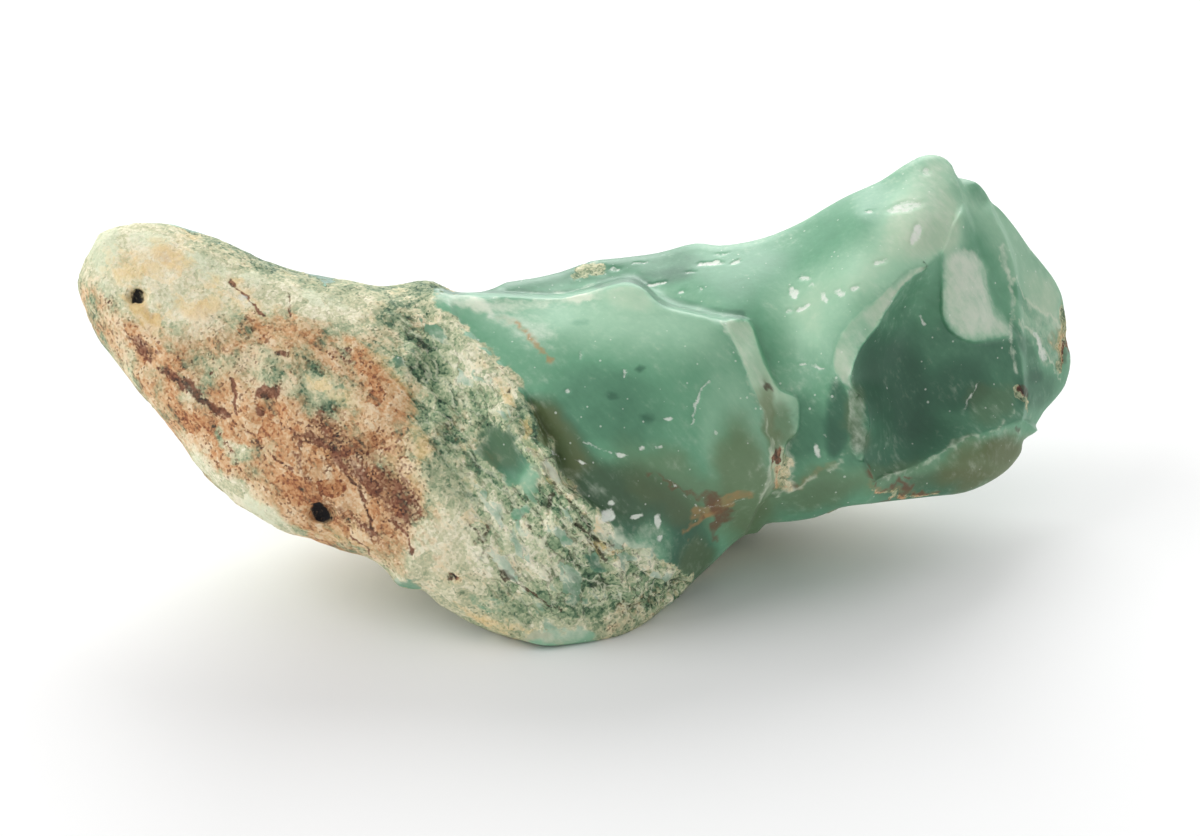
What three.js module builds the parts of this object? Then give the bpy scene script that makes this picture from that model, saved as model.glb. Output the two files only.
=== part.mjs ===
// Rough chrome chalcedony: one broken piece of green chalcedony. A rusty, granular rind covers its
// blunt end, and glassy fracture faces run from there to the peaked end.
//
// Millimetres, +Z up, +X toward the peaked end, +Y toward the back. The origin is the middle of the
// flat spot that the stone rests on.
//
// The stone is laid out on its broad front face, in three measures: "along" the face toward the peaked
// end, "up" the face, and "out" in front of it (plus) or behind it (minus). Each fracture face is a thin
// plate bent through a few places [along, up, out]. The faces meet in named edges, and a loop of edges
// and of outer places [along, up] bounds each face. The back and the underside are big flat breaks with
// shallow scars bitten out of them.

import * as THREE from "three";
import { mergeVertices } from "three/addons/utils/BufferGeometryUtils.js";

// Driving dimensions, in mm and degrees.
const LEAN = 28; // the broad face leans back this much when the stone rests
const APEX = 326; // the sides of the stone close in toward a point this far in front of it
const FLOOR_DROP = 11.7; // the resting surface lies this far below the middle of the broad face
const REST_SPOT = [1, -2.5]; // middle of the flat spot, before the origin moves there
const RELIEF_CELL = 0.15; // spacing of the places at which the relief of the front is worked out
const SPLIT = 21; // cuts of each side of the icosahedron that becomes the skin
const RIM_THICKNESS = 0.8; // the outline's rim is at least this thick
const RIM_SLOPE = 0.75; // and the stone thickens from it at least this fast
const RIM_LEAN = 0.8; // gap per mm of depth behind the rim, because its slope leans
const LINE_STEPS = 3; // straight steps between two places of a smooth line
const PLATE_EASE = 0.01; // how far a thin plate may ease off its places
const CHART_EDGES = [-41, -19, 37, 22]; // what the relief covers: from and to, along and up
const BREAK_ROUNDING = 2.4; // width over which two breaks round into each other
const SCAR_ROUNDING = 1; // and over which a scar rounds into them
const GLASS_ROUNDING = 0.5; // the same at a rim of glassy chalcedony
const RIND_ROUNDING = 2.4; // and at a rim of rind
const SHARP_FROM = -5; // rims are sharp from this far along
const SOFT_TO = -13; // and fully rounded up to this far along
const LEDGE_TURN = -38; // the rind's ledges run across this turn
const LEDGE_SPACING = 3.2; // and this far apart
const LEDGE_STRETCH = 3; // ledges are this much longer than they are wide
const LEDGE_SHARE = 0.5; // share of ledges in the rind's relief, and the rest is lumps
const LUMP_SPACING = 4.5; // spacing of the lumps between them
const LUMP_WARP = 1.5; // how far the rows of lumps are pushed out of line
const BACK_LUMPS = 0.35; // height of the lumps on the back
const BACK_LUMP_SPACING = 9; // and their spacing

const THROW_STEP = 0.4; // a corner is thrown out from the heart line in steps this long
const THROW_LIMIT = 60; // and never further than this
const THROW_HALVINGS = 12; // halvings of the last step that find the surface
const EVEN_ROUNDS = 70; // rounds of evening out the skin's triangles
const EVEN_STEP = 0.9; // share of the way that a corner moves in one of them
const SLACK = 1.02; // an edge is turned once its two far angles pass a half turn by this much
const SHARPEN_ROUNDS = 3; // rounds of laying corners along the sharp lines
const SHARPEN_REACH = 0.25; // a corner moves no further than this in one round
const SHARPEN_EASE = 0.03; // pull that keeps a corner where it is
const FOLD = 75; // a triangle never turns by more than this many degrees
const SLIVER = 0.03; // and its area is never less than half of this
const LEAST_BEND = 15; // edges flatter than this many degrees cut across no sharp line
const MISS_EASE = 0.005; // an edge is turned only if its middle comes this much closer to the surface
const PROBE = 0.15; // reach of the slope's measuring
const LONGEST_MOVE = 0.8; // a place settles by at most this much in one round
const LEAST_SLOPE = 0.2; // and as if the gap's squared slope were at least this
const SETTLE_ROUNDS = 3; // rounds of settling before a surface plane is read
const CREASE_CROWDING = 0.8; // how much closer the corners stand beside the sharp lines
const CREASE_REACH = 1.2; // and within about this distance of them
const BACK_CROWDING = 0.85; // and how close they stand on the back, against 1 on the front
const FRONT_SKIN = 1; // what is less deep than this below the relief is front
const MOST_BEND = 35; // edges sharper than this many degrees are not turned
const FLAT_WITHIN = 0.2; // corners this low lie on the resting surface

// ---- The front: sharp lines, places and outer places ------------------------------------------

// The sharp lines that the faces meet in, each place [along, up, out]. The rind ends in the green edge.
const GREEN_EDGE = [
  [-11.2, 9.1, 3], [-10.7, 7.2, 4.6], [-9.4, 5.6, 5.9], [-7.6, 3.8, 7.2], [-6.1, 2.2, 8.1],
  [-5.3, 0.7, 8.6], [-4.3, -1.3, 9], [-3.4, -3, 9.3], [-2.9, -4.8, 9.4], [-1.4, -5.9, 9.2],
  [0, -6.8, 8.8], [1.6, -7.2, 8.2], [3.2, -7.5, 7.6], [4.2, -8.8, 6.6], [5.4, -10.4, 5],
  [6.7, -12.2, 1.9],
];

const PANEL_TOP = [
  [-11.2, 9.1, 2.9], [-8.7, 9, 2.7], [-5.8, 8.8, 2.4], [-2.9, 8.7, 2.3], [-0.7, 9.2, 2.4],
  [0.9, 9.7, 2.5], [2.2, 9.9, 2.6], [3.3, 9.3, 3], [4.3, 8.3, 3.7], [5.4, 7.9, 4], [7.2, 7.5, 4.3],
  [9.1, 7, 4.5],
];

const PANEL_RIGHT = [
  [9.1, 7, 4.5], [10, 4.6, 5.4], [11.2, 2, 6], [12, -0.5, 6], [12.4, -2.7, 5.8], [12.2, -4.6, 5.2],
  [11.4, -6.3, 4.2], [10.5, -8.3, 1.4],
];

const BEVEL_EDGE = [
  [10.7, 7, 2.4], [11.4, 5.3, 3.2], [12.2, 3.3, 3.7], [13, 2, 3.9], [14.2, 1.4, 3.9], [14.4, 0.4, 4],
  [14.2, -1, 4.1], [13.5, -1.7, 4.2], [13.2, -3.3, 4], [12.7, -4.9, 3.6], [11.9, -5.9, 3.2],
];

const FACET_TOP = [
  [11.9, -5.9, 3], [14.5, -5, 3.3], [16.7, -4.1, 3.4], [19, -3.1, 3.8],
];

const BLADE = [
  [24.8, 12.2, -1.7], [23.6, 10.9, 0.2], [22.1, 9.8, 1.7], [21.2, 8.6, 2.7], [20.1, 6.7, 3.8],
  [19, 5.3, 4.6], [18.3, 3.8, 5], [18.1, 2.5, 5.1], [18.7, 1.7, 5.1], [19.3, 0.8, 5],
  [19.5, -0.5, 4.9], [19.2, -1.6, 4.6], [19, -3.1, 3.8],
];

const LIP_TOP = [
  [19.9, -4.6, 2.9], [22.5, -3.6, 0.4], [24.3, -2.7, -0.2], [26.1, -1.8, -1], [27.9, -1, -2],
  [29.3, -0.6, -3], [30.6, -0.1, -4.4],
];

const FROST_EDGE = [
  [24.9, 9.3, -1.6], [25, 7.2, -1.9], [25.7, 6.2, -2.4], [27.2, 5.6, -3.2], [29, 5.8, -4.6],
  [30, 6, -5.2],
];

const LEDGE_NEAR = [
  [25.8, 17.4, -7.4], [26.2, 15.8, -5.2], [27.2, 13, -4.5], [27.8, 11.3, -4.5], [28, 9.6, -4.4],
  [28.6, 8, -4.8], [30, 6, -5.2],
];

const LEDGE_FAR = [
  [27.7, 17.2, -8.2], [28.3, 15.1, -7.8], [29.2, 13.3, -7.2], [29.9, 11.3, -6.9], [30.3, 8.6, -6.8],
  [30.6, 5.3, -6.6], [30.7, 2.4, -6.4], [30.7, 0.9, -6],
];

// Places that bend each face, [along, up, out].
const RIND = [
  [-37, 9.3, 2.9], [-35.9, 12.9, 2.2], [-31.9, 13.5, 2], [-26.1, 11.6, 2.6], [-21, 10, 2.8],
  [-16.3, 9.3, 2.8], [-34.1, 8.6, 4.4], [-30.4, 10, 4], [-26.8, 6.4, 5.6], [-21.7, 7.1, 5.4],
  [-16.7, 6.4, 5.2], [-32.6, 3.5, 4.9], [-25.4, 1.3, 7], [-19.6, 1.3, 7.6], [-14.5, 1.3, 7.4],
  [-29, -1.6, 5.6], [-21.7, -3.8, 8.2], [-14.5, -4.5, 8.8], [-24.6, -6.7, 6.6], [-18.1, -8.5, 7.6],
  [-13, -9.9, 8.6], [-35.5, 5.7, 3.6], [-13.4, 3.8, 6.3], [-11.8, -2.3, 8.7], [-13.8, 6.7, 4.5],
  [-12.2, 3.3, 5.9], [-10.7, -0.1, 7.3], [-10.1, -4.5, 8.7], [-7.2, 1.3, 8], [-6.2, -0.5, 8.9],
  [-7.6, -1.7, 7.9], [-6.2, -3.8, 8.5], [-4.7, -5.8, 9], [-4, -4.1, 9.7], [-9.4, -8.8, 9.1],
  [-2.9, -8.8, 9.3], [-5.8, -11.7, 8.4], [-9.4, -12.5, 7.9], [-2.9, -13.6, 7.4], [0, -9.6, 8.4],
  [2.9, -10.3, 6.7], [1.4, -12.8, 6.1], [-9.4, -14.8, 6.6], [-4, -16.4, 6.5], [0, -15.9, 5.4],
  [3.6, -14.3, 3.7], [5.8, -12.5, 2.2], [-14.5, -12, 8], [-21.7, -8.1, 7],
];

const PANEL = [
  [-7.2, 6.4, 4.9], [-2.9, 6.4, 5.2], [-2.9, 2.8, 7.5], [-4, 1.2, 8.3], [-2.8, 0.4, 8.5],
  [-1.7, -0.9, 8.8], [-0.6, -2.3, 8.8], [-6.1, 2, 7.7], [-5.1, 0.6, 7.5], [-3.6, -1.4, 7.8],
  [-2.5, -3, 8.1], [-1.4, -4.9, 8.3], [0.7, -7, 8.1], [3.3, -7.6, 7.5], [4.1, -9.2, 6.4],
  [5.4, -10.7, 4.7], [6.7, -12.3, 1.8], [1.4, 5.7, 6.2], [1.4, 1.3, 8.5], [1.8, -3, 8.7],
  [6.5, 4.9, 6.5], [6.5, 1.3, 7.7], [6.5, -3, 7.7], [6.5, -7.4, 5.7], [8.4, -10, 1.6], [10.1, -3, 6.9],
  [9.8, 1.3, 6.8],
];

const BEVEL = [
  [10.5, 5.3, 3.9], [11.7, 2.4, 4.7], [13, 0.2, 4.8], [12.7, -2, 4.8], [12.5, -3.8, 4.4],
];

const SADDLE = [
  [-7.2, 9.9, -5.5], [-2.9, 10.4, -6.8], [0, 11.3, -7.2], [4.3, 11.9, -6.8], [7.2, 12.6, -6.5],
  [11.6, 13, -6], [14.5, 14.1, -6], [17.4, 15.8, -6], [20.3, 17.2, -6.2], [23.6, 19, -6.6],
  [25, 18.8, -7.2], [-8.7, 9.1, -4.5], [-2.9, 8.8, -4.6], [2.2, 9.8, -4.6], [2.9, 10.7, -5.4],
  [7.2, 10.4, -3], [6.5, 8.1, -0.6], [9.1, 7, 1.6], [11.6, 10.7, -2.4], [11.6, 7.8, 0.8],
  [14.5, 10.7, -1.6], [14.5, 7.8, 1], [14.5, 4.9, 2.6], [13.8, 2, 3.4], [13.8, -0.9, 3.7],
  [13.8, -3.4, 3.5], [16.7, 8.6, 2], [15.9, 5.7, 3.4], [17, 3.8, 4.6], [17.2, 1.3, 4.6],
  [17, -1.6, 4.3], [18.8, 12.2, 0], [18.8, 14.7, -2.6], [21, 13.5, -0.8], [20.3, 10.7, 1.5],
  [18.1, 9.6, 2.4], [22.1, 15.3, -2.4], [23, 13.5, -0.9], [24.6, 14.7, -2.6], [25.4, 16.9, -5.2],
  [24.3, 12.2, -1.4], [26.2, 15.8, -5], [25.5, 14, -2.9],
];

const FACET = [
  [19.9, -4.6, 2.9], [19.3, -6.2, 1.6], [16.7, -5.9, 2.2], [13.8, -7.2, 0.8], [11.3, -8.1, -0.4],
  [15.9, -7, 0.9],
];

const HOLLOW = [
  [19.9, -4.6, 2.9], [21.4, 7.8, 0.4], [20.4, 5.7, 1.2], [19.9, 2.4, 1.4], [20.7, -0.1, 0.9],
  [20.4, -2.7, 1.4], [23.2, 6.4, -1.7], [23.6, 2.8, -2.3], [24.3, -0.1, -2.2], [22.8, 9.3, -0.6],
  [28.3, 2.4, -4.2], [30.1, 2.4, -5.4], [30.7, 0.9, -5.4], [26.1, 1.3, -3], [22.1, -1.6, -0.6],
];

const FROST = [
  [24.8, 12.2, -1.5], [25.5, 14, -2.7], [26.2, 14.7, -3.6], [26.4, 9.3, -2.2], [27.9, 7.8, -3.4],
];

const LIP = [
  [19.3, -6.2, 1.4], [21.7, -5.9, -0.6], [24.6, -5.6, -1.8], [26.8, -5.1, -2.8], [28.6, -4.3, -3.8],
  [30.1, -2.7, -5.2], [25.4, -4.1, -0.9], [28.3, -2.7, -2.4],
];

const STEP_NEAR = [
  [27.9, 15.8, -7.8], [27.9, 13.6, -5.6], [29.2, 9.6, -5.7], [29.7, 7.1, -5.8],
];

const STEP_FAR = [
  [29, 14.7, -8.6], [31, 12.2, -9.6], [32.6, 9.6, -10.3], [33.6, 7.1, -11], [33.9, 4.2, -11.2],
  [32.6, 1.3, -9.8], [31.9, 6.4, -8.6], [31.9, 2.8, -8.4], [31.5, -0.5, -9], [30.7, -0.9, -6.6],
];

// Outer places [along, up], which close the faces' loops beyond the outline.
const RIND_OUT = [
  [7.6, -13.6], [4.3, -16.8], [-2.9, -19], [-12.3, -16.8], [-15.9, -13.9], [-22.5, -11.7],
  [-30.4, -6.7], [-39.1, 4.9], [-40.6, 9.3], [-39.1, 16.2], [-31.9, 16.9], [-21.7, 13.3],
  [-15.6, 11.8], [-11.6, 11.3],
];

const PANEL_OUT = [
  [9.8, -10.3], [7.6, -13.6],
];

const SADDLE_TOP = [
  [25, 21.2], [7.2, 14.7], [-11.6, 11.3],
];

const SADDLE_RIGHT = [
  [25.5, 14], [26.2, 15.8], [25.8, 17.4],
];

const FACET_OUT = [
  [19.9, -4.6], [19.7, -5.4], [19.3, -6.2], [18.8, -8.1], [13.8, -9.6], [11, -10.3], [10.5, -8.3],
  [11.4, -6.3],
];

const LIP_OUT = [
  [32.2, -1.6], [31.9, -3.8], [28.3, -7], [23.9, -7.8], [19, -8.1], [19.3, -6.2], [19.7, -5.4],
];

const FAR_OUT = [
  [30.6, -0.1], [32.2, -2.3], [36.2, 1.3], [36.2, 10], [31.2, 18],
];

// The stone's outline [along, up], and the depth of its rim.
const OUTLINE = [
  [-37.9, 9.3], [-37.7, 10.9], [-37.1, 12.4], [-36.2, 13.7], [-34.6, 14.2], [-31.9, 14.3], [-29, 13.5],
  [-26.1, 12.3], [-23.9, 11.3], [-21.7, 10.6], [-18.1, 10], [-15.6, 9.6], [-13.4, 9.9], [-12.2, 10.1],
  [-10.5, 9.6], [-8, 9.8], [-5.1, 10.1], [-2.9, 10.6], [-0.7, 11.4], [1.4, 11.6], [4.3, 12],
  [6.9, 12.7], [8.7, 12.5], [11.6, 13], [14.5, 14.2], [17.4, 15.9], [20.3, 17.2], [22.1, 18.4],
  [23.6, 19.1], [24.8, 19], [25.5, 18.3], [25.9, 17.5], [27.2, 17.1], [27.9, 16.4], [28.3, 15.8],
  [29.3, 15.2], [30.4, 13.7], [31.2, 12.5], [32.2, 11.3], [33.2, 9.9], [33.8, 8.2], [33.9, 6],
  [34.2, 4.1], [33.8, 2.3], [33, 1.3], [32.2, 0.4], [31.7, -0.9], [30.7, -1.6], [30.5, -2.5],
  [29.7, -3.6], [28.3, -4.6], [26.4, -5.4], [23.9, -5.7], [19.6, -6.2], [17.4, -6.5], [15.6, -7.2],
  [13.8, -7.5], [12, -7.7], [11.4, -8.3], [10.5, -8.5], [9.4, -9.3], [8.4, -10.3], [7.2, -11.4],
  [5.8, -12.7], [3.6, -14.6], [1.9, -15.6], [0, -16.1], [-2.2, -16.4], [-4, -16.5], [-5.8, -16.1],
  [-7.6, -15.6], [-9.4, -14.9], [-11.6, -13.6], [-12.8, -12.5], [-13.6, -12.4], [-14.5, -12.2],
  [-15.6, -11], [-17, -10.1], [-18.8, -9.6], [-21, -8.8], [-22.8, -8.4], [-24.6, -7.4], [-26.4, -6.2],
  [-29, -3.8], [-30.4, -1.7], [-32.6, 0.9], [-34.9, 3.8], [-36.5, 6],
];

const RIM = [
  [-37.9, 9.3, 2], [-36.2, 13.7, 1.2], [-31.9, 14.3, 0.4], [-26.1, 12.3, 0.2], [-20.3, 10.3, 0],
  [-15.6, 9.6, 0.2], [-11.6, 9.8, 0.2], [-8, 9.8, -4.5], [-2.9, 10.6, -7.2], [1.4, 11.6, -7.6],
  [7.2, 12.7, -6.8], [14.5, 14.2, -6.2], [20.3, 17.2, -6.4], [23.9, 19.1, -6.8], [25.9, 17.5, -7.8],
  [29.3, 15.2, -8.6], [32.2, 11.3, -10.2], [33.8, 8.2, -11.2], [34.1, 4.2, -11.5], [32.2, 0.4, -9.6],
  [30.5, -2.3, -5.8], [28.3, -4.6, -4.6], [23.9, -5.7, -2.6], [19.6, -6.2, -0.6], [15.6, -7.2, -0.6],
  [12, -7.7, -2], [10.5, -8.5, -1.6], [8.4, -10.3, -0.2], [5.8, -12.7, 1.2], [1.9, -15.6, 4.2],
  [-4, -16.5, 6.2], [-9.4, -14.9, 6.2], [-14.5, -12.2, 6.6], [-18.8, -9.6, 6.4], [-24.6, -7.4, 5.8],
  [-29, -3.8, 4.6], [-32.6, 0.9, 3.6], [-36.5, 6, 2.6],
];

const reversed = (list) => [...list].reverse();
const lifted = (list, by) => list.map(([along, up, out]) => [along, up, out + by]);

// Pits in the rind, each a round hollow.
const PITS = [
  { at: [-33.5, 8.8], radius: 0.7, squash: 1.2, depth: 0.9 },
  { at: [-20.1, -6.9], radius: 0.9, squash: 1.5, depth: 1.1 },
];

// From the lowest face to the one that lies over all the others. Beyond its loop a face falls to the
// ones under it over its ramp, in mm.
const FRONT_FACES = [
  { loop: [...LEDGE_FAR, ...FAR_OUT], places: [...LEDGE_FAR, ...STEP_FAR], ramp: 0.3, rough: 0.1 },
  {
    loop: [...LEDGE_NEAR, [29.9, 4.2], [30.1, 2.4], ...reversed(LEDGE_FAR)],
    places: [...LEDGE_NEAR, ...lifted(LEDGE_FAR, 0.6), ...STEP_NEAR],
    ramp: 0.3,
    rough: 0,
  },
  {
    loop: [...BLADE, ...LIP_TOP, [30.7, 1.3], ...reversed(FROST_EDGE)],
    places: [...BLADE, ...LIP_TOP, ...FROST_EDGE, ...HOLLOW],
    ramp: 0.2,
    rough: 0,
  },
  {
    loop: [...FROST_EDGE, ...reversed(LEDGE_NEAR), [25.5, 14], [24.8, 12.2]],
    places: [...lifted(FROST_EDGE, 0.3), ...LEDGE_NEAR.slice(1), ...FROST],
    ramp: 0.3,
    rough: 0,
  },
  { loop: [...LIP_TOP, ...LIP_OUT], places: [...LIP_TOP, ...LIP], ramp: 0.15, rough: 0 },
  { loop: [...FACET_TOP, ...FACET_OUT], places: [...FACET_TOP, ...FACET], ramp: 0.15, rough: 0 },
  {
    loop: [
      ...PANEL_TOP,
      ...PANEL_RIGHT.slice(0, -2),
      ...FACET_TOP,
      ...reversed(BLADE),
      ...SADDLE_RIGHT,
      ...SADDLE_TOP,
    ],
    places: [...SADDLE, ...BLADE, ...FACET_TOP],
    ramp: 0.15,
    rough: 0,
  },
  {
    loop: [...PANEL_RIGHT.slice(0, -1), ...reversed(BEVEL_EDGE)],
    places: [...lifted(PANEL_RIGHT, -0.1), ...BEVEL_EDGE, ...BEVEL],
    ramp: 0.3,
    rough: 0,
  },
  {
    loop: [...GREEN_EDGE, ...reversed(PANEL_OUT), ...reversed(PANEL_RIGHT), ...reversed(PANEL_TOP)],
    places: [...PANEL_TOP, ...PANEL_RIGHT, ...PANEL],
    ramp: 0.6,
    rough: 0,
  },
  { loop: [...GREEN_EDGE, ...RIND_OUT], places: [...GREEN_EDGE, ...RIND], ramp: 0.5, rough: 0.28 },
];

// ---- Breaks and scars of the back and the underside, in the resting stone's own X, Y and Z ----

const BREAKS = [
  { at: [-15, 10.5, 12], facing: [-0.15, 0.95, 0.28] },
  { at: [15, 15.2, 12], facing: [0.05, 0.97, 0.2] },
  { at: [31, 14.6, 12], facing: [0.6, 0.78, 0.15] },
  { at: [-20, 6, 21.6], facing: [0.2, 0.45, 0.87] },
  { at: [5, 12.6, 18.8], facing: [0.02, 0.75, 0.65] },
  { at: [22, 15.6, 23], facing: [0.15, 0.85, 0.5] },
  { at: [0, 10, 3], facing: [-0.1, 0.7, -0.71] },
  { at: [-7, 0, 0], facing: [-0.4, 0, -0.92] },
  { at: [-33, 3, 13], facing: [-0.66, 0.35, -0.66] },
  { at: [9, 4, 0], facing: [0.3, 0.05, -0.95] },
  { at: [24, 13, 6], facing: [0.3, 0.6, -0.74] },
];
const SCARS = [
  { at: [9, 31, 14], radius: 18 },
  { at: [-20, 25, 9], radius: 16.6 },
  { at: [26, 24, 10], radius: 11 },
  { at: [-15, 12, 36], radius: 17.6 },
  { at: [-22, -3, -13], radius: 19 },
];

// The line that the skin is spread out from, [along, up, out].
const HEART = [
  [-33, 9, -0.5],
  [-26, 4, 0],
  [-16, -1, 0],
  [-4, -4, 0],
  [8, 1, -1.5],
  [17, 3.5, -4],
  [24, 6, -7],
  [30, 6, -10],
];

const CREASES = [
  PANEL_TOP,
  PANEL_RIGHT,
  FACET_TOP,
  BLADE,
  LIP_TOP,
  FROST_EDGE,
  LEDGE_NEAR,
  LEDGE_FAR,
  GREEN_EDGE,
  BEVEL_EDGE,
];

// ---- Small tools -------------------------------------------------------------------------------

const radians = THREE.MathUtils.degToRad;
const clamp = THREE.MathUtils.clamp;
const smoothstep = THREE.MathUtils.smoothstep;

// The larger of two gaps, with the edge between them rounded over the given width.
function roundMax(a, b, width) {
  const near = Math.max(width - Math.abs(a - b), 0);
  return Math.max(a, b) + (near * near) / (4 * width);
}

function roundMin(a, b, width) {
  return -roundMax(-a, -b, width);
}

// Uneven lumps about `size` apart, between -1 and 1.
function lumps(x, y, z, size) {
  const k = (2 * Math.PI) / size;
  const [a, b, c] = [x * k, y * k, z * k];
  const first = Math.sin(a + LUMP_WARP * Math.sin(0.6 * b + 1.1 * c + 1));
  const second = Math.sin(b + LUMP_WARP * Math.sin(0.7 * c + 0.9 * a + 2));
  const third = Math.sin(c + LUMP_WARP * Math.sin(0.8 * a + 0.7 * b + 3));
  return (first + second + third) / 3;
}

// A closed smooth line through places [along, up].
function closedLine(places) {
  const points = places.map(([along, up]) => new THREE.Vector3(along, up, 0));
  const curve = new THREE.CatmullRomCurve3(points, true, "centripetal");
  return curve.getPoints(points.length * LINE_STEPS).slice(0, -1);
}

// Distance from a place to a closed line, less than zero inside it.
function distanceToLine(line, x, y) {
  let nearest = Infinity;
  let inside = false;
  for (let i = 0, j = line.length - 1; i < line.length; j = i++) {
    const [a, b] = [line[j], line[i]];
    const [dx, dy] = [b.x - a.x, b.y - a.y];
    const t = clamp(((x - a.x) * dx + (y - a.y) * dy) / (dx * dx + dy * dy + 1e-12), 0, 1);
    nearest = Math.min(nearest, (x - a.x - t * dx) ** 2 + (y - a.y - t * dy) ** 2);
    if (a.y > y !== b.y > y && x < (dx * (y - a.y)) / dy + a.x) inside = !inside;
  }
  return inside ? -Math.sqrt(nearest) : Math.sqrt(nearest);
}

// Solves a square set of linear equations by elimination; each row ends with its right-hand side.
function solve(rows) {
  const n = rows.length;
  for (let i = 0; i < n; i++) {
    let pivot = i;
    for (let r = i + 1; r < n; r++) {
      if (Math.abs(rows[r][i]) > Math.abs(rows[pivot][i])) pivot = r;
    }
    [rows[i], rows[pivot]] = [rows[pivot], rows[i]];
    for (let r = 0; r < n; r++) {
      if (r === i) continue;
      const share = rows[r][i] / rows[i][i];
      for (let c = i; c <= n; c++) rows[r][c] -= share * rows[i][c];
    }
  }
  return rows.map((row, i) => row[n] / row[i]);
}

// The depth of a thin plate that is bent through places [along, up, out].
function thinPlate(places) {
  const bend = (x, y) => {
    const d = x * x + y * y;
    return d > 0 ? 0.5 * d * Math.log(d) : 0;
  };
  const rows = places.map(([x, y, out], i) => {
    const row = places.map(([px, py], j) => (i === j ? PLATE_EASE : bend(x - px, y - py)));
    return [...row, 1, x, y, out];
  });
  rows.push([...places.map(() => 1), 0, 0, 0, 0]);
  rows.push([...places.map(([x]) => x), 0, 0, 0, 0]);
  rows.push([...places.map(([, y]) => y), 0, 0, 0, 0]);
  const pull = solve(rows);
  const [level, slopeX, slopeY] = pull.slice(-3);
  return (x, y) => {
    const tilt = level + slopeX * x + slopeY * y;
    return places.reduce((sum, [px, py], i) => sum + pull[i] * bend(x - px, y - py), tilt);
  };
}

// ---- The front ---------------------------------------------------------------------------------

const frontFaces = FRONT_FACES.map((face) => ({
  ...face,
  line: closedLine(face.loop),
  plate: thinPlate(face.places),
}));
const outlineLine = closedLine(OUTLINE);
const rimPlate = thinPlate(RIM);

// Fibrous ledges that run down and to the right across the rind, with lumps between them.
function rindRelief(x, y) {
  const across = x * Math.cos(radians(LEDGE_TURN)) + y * Math.sin(radians(LEDGE_TURN));
  const along = y * Math.cos(radians(LEDGE_TURN)) - x * Math.sin(radians(LEDGE_TURN));
  const ledges = lumps(across, along / LEDGE_STRETCH, 0.3, LEDGE_SPACING);
  return LEDGE_SHARE * ledges + (1 - LEDGE_SHARE) * lumps(x, y, 1.7, LUMP_SPACING);
}

// Depth of the front: each face lies over the ones before it, and falls to them over its ramp.
function frontDepth(x, y) {
  let depth = frontFaces[0].plate(x, y);
  for (const face of frontFaces) {
    const distance = distanceToLine(face.line, x, y);
    if (distance > face.ramp) continue;
    const share = 1 - smoothstep(distance, 0, face.ramp);
    const relief = face.rough ? face.rough * rindRelief(x, y) : 0;
    depth += share * (face.plate(x, y) + relief - depth);
  }
  for (const pit of PITS) {
    const away = Math.hypot(x - pit.at[0], (y - pit.at[1]) * pit.squash) / pit.radius;
    depth -= pit.depth * Math.exp(-(away ** 3));
  }
  return depth;
}

// A chart holds one measure of the front at every cell corner, and reads it smoothly between them.
function makeChart(measure) {
  const [x0, y0, x1, y1] = CHART_EDGES;
  const columns = Math.round((x1 - x0) / RELIEF_CELL) + 1;
  const rows = Math.round((y1 - y0) / RELIEF_CELL) + 1;
  const values = new Float64Array(columns * rows);
  for (let r = 0; r < rows; r++) {
    for (let c = 0; c < columns; c++) {
      values[r * columns + c] = measure(x0 + c * RELIEF_CELL, y0 + r * RELIEF_CELL);
    }
  }
  return (x, y) => {
    const cx = clamp((x - x0) / RELIEF_CELL, 0, columns - 1.001);
    const cy = clamp((y - y0) / RELIEF_CELL, 0, rows - 1.001);
    const [c, r] = [Math.floor(cx), Math.floor(cy)];
    const [tx, ty] = [cx - c, cy - r];
    const i = r * columns + c;
    const low = values[i] * (1 - tx) + values[i + 1] * tx;
    const high = values[i + columns] * (1 - tx) + values[i + columns + 1] * tx;
    return low * (1 - ty) + high * ty;
  };
}

const frontChart = makeChart(frontDepth);
const sideChart = makeChart((x, y) => distanceToLine(outlineLine, x, y));
const rimChart = makeChart(rimPlate);
const steepChart = makeChart((x, y) => {
  const slopeX = (frontChart(x + RELIEF_CELL, y) - frontChart(x - RELIEF_CELL, y)) / (2 * RELIEF_CELL);
  const slopeY = (frontChart(x, y + RELIEF_CELL) - frontChart(x, y - RELIEF_CELL)) / (2 * RELIEF_CELL);
  return 1 / Math.hypot(1, slopeX, slopeY);
});

// ---- The whole stone ---------------------------------------------------------------------------

const leanSin = Math.sin(radians(LEAN));
const leanCos = Math.cos(radians(LEAN));

// Turns a place [along, up, out] into the resting stone's own X, Y and Z, with the floor at zero.
function toRest(place, target) {
  const narrow = (APEX - place.z) / APEX;
  const up = place.y * narrow;
  return target.set(
    place.x * narrow,
    up * leanSin - place.z * leanCos,
    up * leanCos + place.z * leanSin + FLOOR_DROP,
  );
}

const breaks = BREAKS.map(({ at, facing }) => ({
  at: new THREE.Vector3(...at),
  facing: new THREE.Vector3(...facing).normalize(),
}));
const scars = SCARS.map(({ at, radius }) => ({ at: new THREE.Vector3(...at), radius }));
const rest = new THREE.Vector3();
const offset = new THREE.Vector3();

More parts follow.
